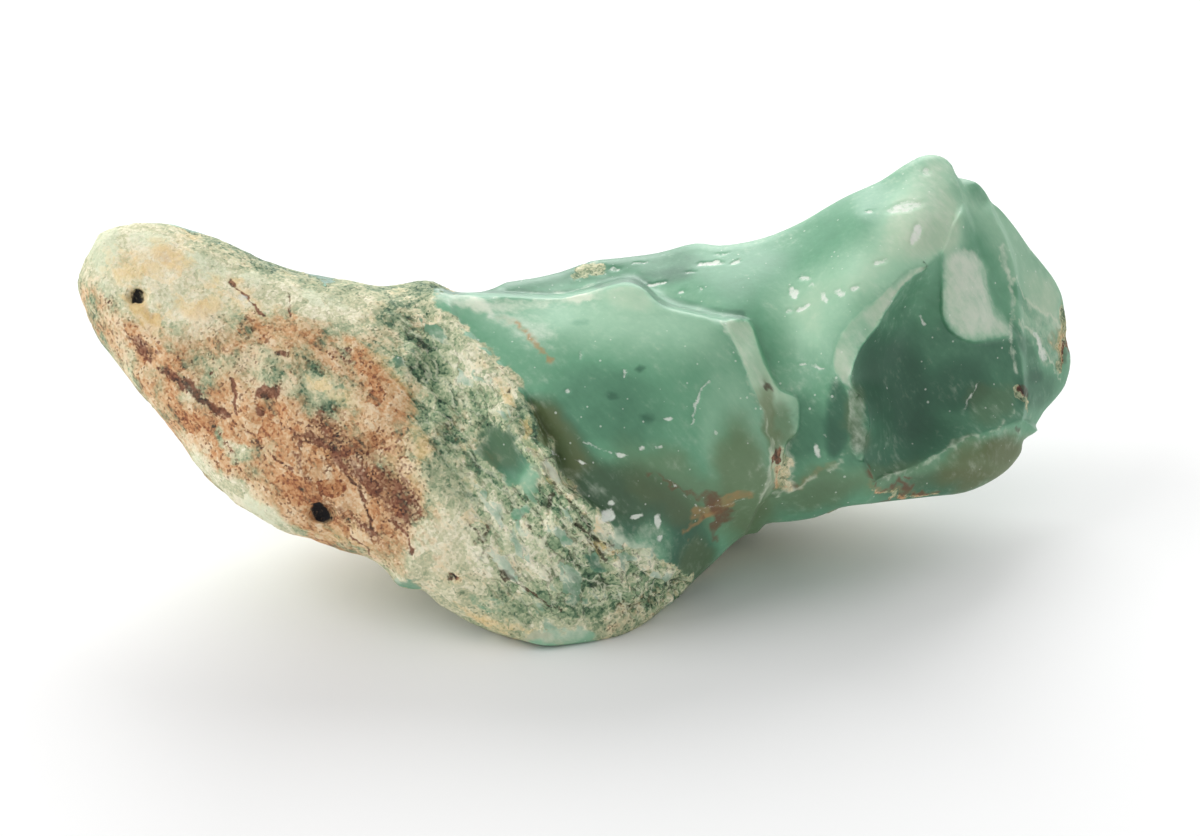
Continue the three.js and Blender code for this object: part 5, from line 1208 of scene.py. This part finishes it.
eased = np.zeros(len(places))
for (along, up), reach in EASED:
    away = np.hypot(places[:, 0] - along, places[:, 1] - up)
    eased = np.maximum(eased, 1 - smoothstep(away, 0.5 * reach, reach))
away = distance_to(smooth_line(PANEL_TOP[4:], closed=False), places[:, 0], places[:, 1], closed=False)
eased = np.maximum(eased, TOP_EDGE_EASE * (1 - smoothstep(away, *TOP_EDGE_REACH)))
for _ in range(EASE_ROUNDS):
    middle = np.column_stack([mean_round(places[:, i]) for i in range(3)])
    places += (EASE_MOVE * eased)[:, None] * (middle - places)

# ---- Masks: where each mineral, stain and bruise lies, and where light and shade are painted -----


def cover(mask, share):
    """Lays a mark over a mask, or takes some of the mask away where the mark is below zero."""
    return np.where(share > 0, mask + (1 - mask) * share, mask * (1 + share))


def front_mask(name, x, y):
    """The areas, streaks and spots of one name, laid over each other in their order."""
    mask = np.zeros(len(x))
    for loop, soft, strength in AREAS.get(name, []):
        away = distance_to(smooth_line(loop, closed=True), x, y, closed=True)
        mask = cover(mask, strength * (1 - smoothstep(away, -soft, soft)))
    for line, width, strength in STREAKS.get(name, []):
        away = distance_to(smooth_line(line, closed=False), x, y, closed=False)
        mask = cover(mask, strength * (1 - smoothstep(away / width, *STREAK_FADE)))
    for along, up, long, wide, turn, strength in SPOTS.get(name, []):
        turn = math.radians(turn)
        dx, dy = x - along, y - up
        a = (dx * math.cos(turn) + dy * math.sin(turn)) / long
        b = (dy * math.cos(turn) - dx * math.sin(turn)) / wide
        mask = cover(mask, strength * (1 - smoothstep(np.hypot(a, b), *SPOT_FADE)))
    return mask


rest = to_rest(places)
front = smoothstep(places[:, 2] - rim_chart(places[:, 0], places[:, 1]), *FRONT_FADE)
coarse_waver, fine_waver = (
    np.column_stack([noise(rest, size, seed), noise(rest, size, seed + 1)])
    for size, seed in ((2.2, 11), (0.6, 13))
)
masks = {}
for name, (coarse, fine) in WAVER.items():
    x, y = (places[:, :2] + coarse * coarse_waver + fine * fine_waver).T
    masks[name] = front_mask(name, x, y) * front
facing = facing_at(places)
for name in ("cream", "pale", "frost", "bruise"):  # none on the walls that stand edge on to the broad face
    masks[name] *= smoothstep(facing[:, 2], *WALL_FADE)

# The back and the underside aren't marked place by place: broad noise lays the same minerals over them.
behind = 1 - front
broad = rough_noise(rest, size=14, seed=31, layers=3)
patches = rough_noise(rest, size=6, seed=41, layers=3)
blunt = 1 - smoothstep(rest[:, 0] + FADE_WAVER * broad, *BLUNT_FADE)
under = 1 - smoothstep(rest[:, 2] + FADE_WAVER * patches, *UNDER_FADE)
masks["rind"] += behind * np.clip(np.maximum(blunt * smoothstep(patches, -0.35, 0.1), under * 0.9), 0, 1)
rind, glass = masks["rind"], 1 - masks["rind"]
# Each one's noise, the values between which it rises, and its strength.
for name, follows, low, high, strength in (
    ("rust", broad + 0.4 * patches, 0.05, 0.5, 0.8 * rind),
    ("ochre", patches, 0, 0.6, 0.5 * rind),
    ("cream", -patches, 0.1, 0.7, 0.5),
    ("deep", -broad, -0.2, 0.5, 0.8),
    ("pale", broad, 0, 0.6, 0.6),
    ("olive", rough_noise(rest, size=9, seed=51, layers=2), 0.25, 0.6, 0.5),
):
    masks[name] += behind * smoothstep(follows, low, high) * strength

# ---- Relief: the grain of the rind, the ripples of the glass, and chips --------------------------

ledge_places = np.column_stack([*ledge_axes(places[:, 0], places[:, 1]), places[:, 2]])
splinters = facets(ledge_places, size=1.3, seed=61)
blocks = facets(rest, size=2.4, seed=62)
crumbs = facets(rest, size=0.8, seed=63)
coarse = rough_noise(rest, size=2.2, seed=64, layers=3)
broken = np.clip(masks["deep"] + masks["ledge"], 0, 1)
strand = rough_noise(ledge_places, size=1.2, seed=67, layers=3)
ripples = (noise(rest, size=3, seed=65), noise(rest, size=1.2, seed=66))
relief = COARSE_HEIGHT * coarse + BLOCK_HEIGHT * blocks + CRUMB_HEIGHT * crumbs
relief = rind * (relief + (SPLINTER_HEIGHT + BROKEN_HEIGHT * broken) * splinters - RIND_SINK)
relief += rind * masks["ledge"] * STRAND_HEIGHT * strand
relief *= 1 - 0.5 * masks["cream"] * (1 - broken)  # bleached rind is half as rough
relief += glass * sum(height * ripple for height, ripple in zip(RIPPLE_HEIGHTS, ripples))
relief -= BRUISE_DEPTH * masks["bruise"] + CRACK_DEPTH * masks["brown"] * rind + PIT_DEPTH * masks["pit"]
relief *= smoothstep(rest[:, 2], *FLOOR_FADE)

# Edges that stand out are worn pale, and the dents are painted darker as painted shade.
around = relief
for _ in range(EDGE_AND_DENT_ROUNDS):
    around = mean_round(around)
masks["worn"] = np.clip(0.5 + (relief - around) / EDGE_AND_DENT_HEIGHT, 0, 1)
masks["strand"] = 0.5 + 0.5 * strand
place_corners(stone, places + facing * relief[:, None])
for corner in stone.verts:
    corner.co.z = max(corner.co.z, 0)

mesh = bpy.data.meshes.new("chalcedony_stone")
stone.to_mesh(mesh)
stone.free()
for name, mask in masks.items():
    mesh.attributes.new(name, "FLOAT", "POINT").data.foreach_set("value", np.clip(mask, 0, 1))
mesh.shade_smooth()
mesh.set_sharp_from_angle(angle=math.radians(SHARP_ANGLE))
piece = bpy.data.objects.new("chalcedony_stone", mesh)
bpy.context.scene.collection.objects.link(piece)

# ---- Material: waxy chalcedony glass with a granular, iron-stained rind --------------------------


def colour(code):
    """A colour written as sRGB hex, as Blender's linear red, green, blue and alpha."""
    parts = [int(code[i : i + 2], 16) / 255 for i in (1, 3, 5)]
    return [part / 12.92 if part <= 0.04045 else ((part + 0.055) / 1.055) ** 2.4 for part in parts] + [1]


ACROSS_LEDGES = (
    Matrix.Rotation(math.radians(90 - LEAN), 3, "X") @ Matrix.Rotation(math.radians(LEDGE_TURN), 3, "Z")
).to_euler()
FLAKE = 0.9  # mm across a flake of the granular zone

material = bpy.data.materials.new("broken_green_chalcedony_with_iron_stained_rind")
material.use_nodes = True
tree = material.node_tree
tree.nodes.clear()
piece.data.materials.append(material)


def add(kind, inputs, out=0, stops=(), **settings):
    """Adds a node, sets it, and fills its inputs with values or with links. Gives its output.

    The stops are the colours of a ramp from low to high, as (value, sRGB hex).
    """
    made = tree.nodes.new("ShaderNode" + kind)
    for name, value in settings.items():
        setattr(made, name, value)
    for socket, value in inputs.items():
        if isinstance(value, bpy.types.NodeSocket):
            tree.links.new(value, made.inputs[socket])
        else:
            made.inputs[socket].default_value = value
    for at, _ in stops[2:]:
        made.color_ramp.elements.new(at)
    for element, (at, code) in zip(made.color_ramp.elements if stops else (), stops):
        element.position, element.color = at, colour(code)
    return made.outputs[out]


def mixed(*parts, plus=0):
    """Adds up (share, value) parts, in which each value counts by its share, and a plain number."""
    total = 0
    for share, value in parts:
        total = add("Math", {0: value, 1: share, 2: total}, operation="MULTIPLY_ADD")
    return add("Math", {0: total, 1: plus}, operation="ADD") if plus else total


def rising(low, high, top, *parts):
    """A share that rises smoothly from 0 to `top` while the sum of its parts goes from low to high."""
    return add("MapRange", {0: mixed(*parts), 1: low, 2: high, 4: top}, interpolation_type="SMOOTHSTEP")


def layered(paint, *layers):
    """Lays (share, paint) layers over a paint, one after the other."""
    for share, over in layers:
        paint = add("Mix", {0: share, 6: paint, 7: over}, out=2, data_type="RGBA")
    return paint


mask = {name: add("Attribute", {}, out=2, attribute_name=name) for name in masks}
place = add("TexCoord", {}, out=3)
place = add("Mapping", {"Vector": place, "Scale": (1 / MM, 1 / MM, 1 / MM)})
torn = add("TexNoise", {"Vector": place, "Scale": 1 / 1.2, "Detail": 4}, "Color")
torn = add("VectorMath", {0: torn, 1: (1.6, 1.6, 1.6), 2: place}, operation="MULTIPLY_ADD")
# Places turned so that what is drawn on them is drawn out along the rind's ledges.
fibres, flakes = (
    add(
        "Mapping",
        {"Vector": where, "Rotation": ACROSS_LEDGES, "Scale": (1, stretch, 1)},
        vector_type="TEXTURE",
    )
    for where, stretch in ((place, 4), (torn, 3.5))
)

# Clouds, from about -1 to 1: what they follow, the size of their lumps in mm, their detail and roughness.
speckle, grain, mottle, fibre, patch, milk = (
    mixed(
        (4, add("TexNoise", {"Vector": where, "Scale": 1 / size, "Detail": detail, "Roughness": rough})),
        plus=-2,
    )
    for where, size, detail, rough in (
        (place, 0.3, 3, 0.65),  # speckle: the finest grains of the rind
        (place, 0.9, 3, 0.6),  # grain: clumps of grains
        (place, 2.8, 4, 0.55),  # mottle: patches of clumps
        (fibres, 0.35, 3, 0.6),  # fibre: fibrous streaks along the ledges
        (place, 5, 2, 0.5),  # patch: broad patches of the stains
        (place, 6, 4, 0.5),  # milk: cloudiness inside the glass
    )
)
# Cells, each with one value from -1 to 1: what they follow, and their size in mm.
crystal, crumb, chip, flake = (
    mixed((2, add("TexVoronoi", {"Vector": where, "Scale": 1 / size}, "Color")), plus=-1)
    for where, size in (
        (place, 0.17),  # crystal: single crystals
        (fibres, 0.45),  # crumb: splintered crumbs
        (torn, 1.3),  # chip: angular chips of one tint
        (flakes, FLAKE),  # flake: long flakes of one tint in the granular zone
    )
)
flake = mixed((mask["ledge"], flake))
seam = add("TexVoronoi", {"Vector": flakes, "Scale": 1 / FLAKE}, feature="DISTANCE_TO_EDGE")
seam = mixed((mask["ledge"], rising(-0.09, -0.03, 1, (-1, seam), (0.03, grain))))  # between the flakes
strand = mixed((mask["ledge"], mixed((2, mask["strand"]), plus=-1)))  # bundles of fibres
worn = mixed((1, mask["worn"]), plus=-0.5)  # paler worn edges, and darker dents as painted shade
broken = mixed((0.3, speckle), (0.4, grain), (0.3, fibre), (0.3, crumb))  # breaks up the border of a stain

# Rind: dark green, pale green and cream grains, paler where bleached, darker where serpentine shows.
fine = mixed((0.06, grain), (0.05, speckle), (0.06, fibre), (0.18, crystal), (0.05, crumb))
# The fibre bundles are painted paler and the grooves between them darker, as painted light and shade.
grains = mixed(
    (1, mixed((mixed((-0.3, mask["cream"]), plus=1), fine))),
    (0.1, mottle),
    (0.14, chip),
    (0.22, flake),
    (0.16, strand),
    (0.2, worn),
    (0.28, mask["cream"]),
    (-0.2, mask["deep"]),
    plus=0.53,
)
cream_grains, green_grains = (
    add("ValToRGB", {0: grains}, stops=stops)
    for stops in (
        ((0.1, "#1f3b2a"), (0.28, "#5c7a5c"), (0.46, "#a5b18c"), (0.66, "#d6d4ae"), (0.86, "#fff8dc")),
        ((0.1, "#1f3a29"), (0.28, "#557a58"), (0.46, "#8fad84"), (0.66, "#cbd6b0"), (0.86, "#fbf8e0")),
    )
)
# Between bundles and flakes: some of the seams are bruised white, and the rest are darker; the grooves
# between the bundles are painted darker as painted shade.
lace = mixed((seam, rising(-0.3, 0.3, 1, (1, fibre), (0.5, grain))))
crevice = rising(0.35, 0.55, 0.55, (-1, strand), (0.1, speckle), (0.12, grain))
dark_seams = mixed((0.6, mixed((1, seam), (-1, lace))))
crevice = add("Math", {0: crevice, 1: dark_seams}, operation="MAXIMUM")
dark_grains = rising(0.4, 0.85, 0.6, (-0.9, crystal), (0.35, grain), (0.35, mottle), (-0.3, mask["cream"]))
# Smooth chips where the rind has bleached to a waxy mint.
minty = rising(0.2, 0.75, 0.6, (1, mask["pale"]), (0.35, chip), (0.25, grain), (0.15, mottle))

# Ochre, rust and brown: thin stains tint the grains, thick ones hide them.
ochre_share = rising(
    0.1, 1, 0.75, (1, mask["ochre"]), (0.5, broken), (0.3, mottle), (0.3, chip), (-0.1, mask["cream"])
)
ochre_paint = add(
    "ValToRGB",
    {0: mixed((0.4, broken), plus=0.5)},
    stops=((0.15, "#c98d42"), (0.5, "#efc87e"), (0.85, "#f8e9b4")),
)
rust_share = rising(
    0.05, 0.95, 0.95, (1, mask["rust"]), (0.5, broken), (0.3, mottle), (0.3, patch), (-0.35, mask["cream"])
)
# Its worn edges are paler, and its dents are darker as painted shade.
rust_grain = mixed(
    (0.9, fine),
    (0.16, mottle),
    (0.06, grain),
    (0.12, fibre),
    (0.22, chip),
    (0.2, worn),
    (-0.24, mask["rust"]),  # darker where the rust is thick
    (0.2, mask["cream"]),
    plus=0.735,
)
rust_paint = add(
    "ValToRGB",
    {0: rust_grain},
    stops=((0.1, "#562a20"), (0.28, "#9e5733"), (0.45, "#d0905c"), (0.64, "#e6bb8d"), (0.86, "#f4dbb7")),
)
brown_share = rising(0.2, 0.65, 0.9, (1, mask["brown"]), (0.35, broken), (-0.2, crystal))
brown_paint = add(
    "ValToRGB",
    {0: mixed((0.4, broken), (0.9, fine), plus=0.45)},
    stops=((0.2, "#35201b"), (0.5, "#743f2a"), (0.9, "#ad785a")),
)
rind_paint = layered(
    cream_grains,
    (mixed((0.75, mask["ledge"])), green_grains),
    (crevice, colour("#4b4f38")),
    (mixed((0.6, dark_grains)), colour("#2c4a35")),
    (minty, colour("#dfe9c9")),
    (ochre_share, ochre_paint),
    (rust_share, layered(rust_paint, (dark_grains, colour("#582e22")))),
    (brown_share, layered(brown_paint, (mask["ledge"], colour("#454634")))),  # grey green dirt, not iron
)

# Glass: deep green where thick, minty where it is thin or bruised inside, olive where iron has got in.
# Some of the deep green and the olive is painted shade, on faces that turn down and in hollows, and some of
# the mint is painted light, on faces that turn up and where light shines through thin edges.
tone = mixed((0.06, milk), (0.02, fibre), (0.02, grain), (0.34, mask["pale"]), (-0.4, mask["deep"]), plus=0.5)
clear_glass = add(
    "ValToRGB",
    {0: tone},
    stops=((0.12, "#2f5a45"), (0.3, "#44785c"), (0.5, "#6da784"), (0.7, "#9fcaaa"), (0.88, "#c3dabd")),
)
splinter_glass = mixed((mask["rind"], mask["ledge"]))
wisps = rising(
    0.05, 1, 0.95, (1, mask["frost"]), (0.5, splinter_glass), (0.2, milk), (0.2, grain), (0.15, fibre)
)
glass_paint = layered(
    clear_glass,
    (mixed((0.8, mask["olive"]), (0.3, splinter_glass)), colour("#6b7042")),
    (wisps, colour("#dce6d4")),
    (rising(0.1, 1, 0.85, (1, mask["ochre"]), (0.15, broken)), colour("#b98a52")),
    (rising(0.1, 1, 0.85, (1, mask["rust"]), (0.3, broken)), colour("#70452b")),
    (rising(0.2, 0.9, 0.85, (1, mask["brown"]), (0.3, broken)), colour("#4c3526")),
    (rising(0.1, 1, 0.85, (1, mask["cream"]), (0.3, broken)), colour("#dde6cf")),
)

# Where the rind ends. In the splintered zone it is cut through by glassy lenses.
lenses = rising(0.1, 0.34, 1, (0.7, strand), (0.5, flake), (0.06, grain), (-0.3, mask["deep"]))
split = rising(0.3, 0.6, 1, (1, mask["rind"]), (0.2, grain), (0.1, chip), (0.06, speckle), (-0.75, lenses))
pit_share = rising(0.3, 0.7, 1, (1, mask["pit"]), (0.35, broken))
pit_paint = add(
    "ValToRGB", {0: mixed((0.5, crystal), (0.3, speckle))}, stops=((0.25, "#17171a"), (0.6, "#6d5a4c"))
)

# Bruises: white chips and scratches, and scattered white pinpoints in the glass.
pinpoint = add("TexVoronoi", {"Vector": place, "Scale": 1 / 0.9})
pinpoint = rising(-0.1, -0.04, 0.5, (-1, pinpoint), (0.06, mottle), (0.02, speckle))
pinpoint = mixed((mixed((-1, split), plus=1), pinpoint))
bruise = rising(0.25, 1, 0.9, (1, mask["bruise"]), (0.3, speckle), (0.2, fibre))
bruise = add("Math", {0: bruise, 1: pinpoint}, operation="MAXIMUM")
paint = layered(
    glass_paint,
    (split, rind_paint),
    (mixed((lace, mixed((0.6, mask["rind"])))), colour("#e9ebcf")),
    (pit_share, pit_paint),
    (bruise, colour("#edf3e8")),
)

# The finest grain of the rind is a bump of the light. The glass is nearly smooth and lets some light in.
height = mixed((0.8, speckle), (1, grain), (0.6, fibre), (0.5, crystal))
bump = add("Bump", {"Strength": mixed((0.95, split), plus=0.05), "Distance": 0.025 * MM, "Height": height})
shader = add(
    "BsdfPrincipled",
    {
        "Base Color": paint,
        "Roughness": mixed((0.3, split), (0.03, milk), (0.15, bruise), (0.1, mask["pale"]), plus=0.45),
        "Normal": bump,
        "IOR": 1.54,  # of quartz
        "Subsurface Weight": mixed((-0.3, split), plus=0.35),
        "Subsurface Radius": (0.7, 1, 0.8),  # green light goes in furthest
        "Subsurface Scale": 0.4 * MM,
    },
)
tree.links.new(shader, tree.nodes.new("ShaderNodeOutputMaterial").inputs["Surface"])

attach(piece, "root")
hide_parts("chalcedony")

# ---- Floor, light and camera ---------------------------------------------------------------------

FLOOR_REACH = 1.5  # metres from the middle of the floor to its sides
SURROUND = 0.56  # strength of the white light from all round
FOCAL_LENGTH = 134.96  # mm

sheet = bmesh.new()
bmesh.ops.create_grid(sheet, x_segments=1, y_segments=1, size=FLOOR_REACH)
floor_mesh = bpy.data.meshes.new("floor")
sheet.to_mesh(floor_mesh)
sheet.free()
floor = bpy.data.objects.new("floor", floor_mesh)
floor_paint = bpy.data.materials.new("matt_white_board")
floor_paint.use_nodes = True
floor_shader = floor_paint.node_tree.nodes["Principled BSDF"]
floor_shader.inputs["Base Color"].default_value = colour("#f4f4f4")
floor_shader.inputs["Roughness"].default_value = 0.6
floor_mesh.materials.append(floor_paint)
bpy.context.scene.collection.objects.link(floor)

world = bpy.data.worlds.new("white_surround")
world.use_nodes = True
sky = world.node_tree.nodes["Background"]
sky.inputs["Color"].default_value = (1, 1, 1, 1)
sky.inputs["Strength"].default_value = SURROUND
bpy.context.scene.world = world

# Two round soft lights, with their places and widths in metres and their watts: one behind the stone that its
# shadow falls away from, and one above its blunt end.
for name, spot, width, watts in (
    ("soft_light_behind", (0.03, 0.5, 0.3), 0.45, 2.5),
    ("soft_light_left", (-0.46, -0.05, 0.36), 0.45, 1.55),
):
    lamp = bpy.data.lights.new(name, "AREA")
    lamp.shape, lamp.size, lamp.energy = "DISK", width, watts
    light = bpy.data.objects.new(name, lamp)
    light.location = spot
    light.rotation_euler = Vector(spot).to_track_quat("Z", "Y").to_euler()
    bpy.context.scene.collection.objects.link(light)

camera_data = bpy.data.cameras.new("camera")
camera_data.lens = FOCAL_LENGTH
camera = bpy.data.objects.new("camera", camera_data)
aim = Vector((-REST_SPOT[0], -REST_SPOT[1], FLOOR_DROP)) * MM
camera.location = aim + Vector((0, -LEAN_COS, LEAN_SIN)) * APEX * MM
camera.rotation_euler = (math.radians(90 - LEAN), 0, 0)
bpy.context.scene.collection.objects.link(camera)
bpy.context.scene.camera = camera
bpy.context.scene.view_settings.view_transform = "Standard"
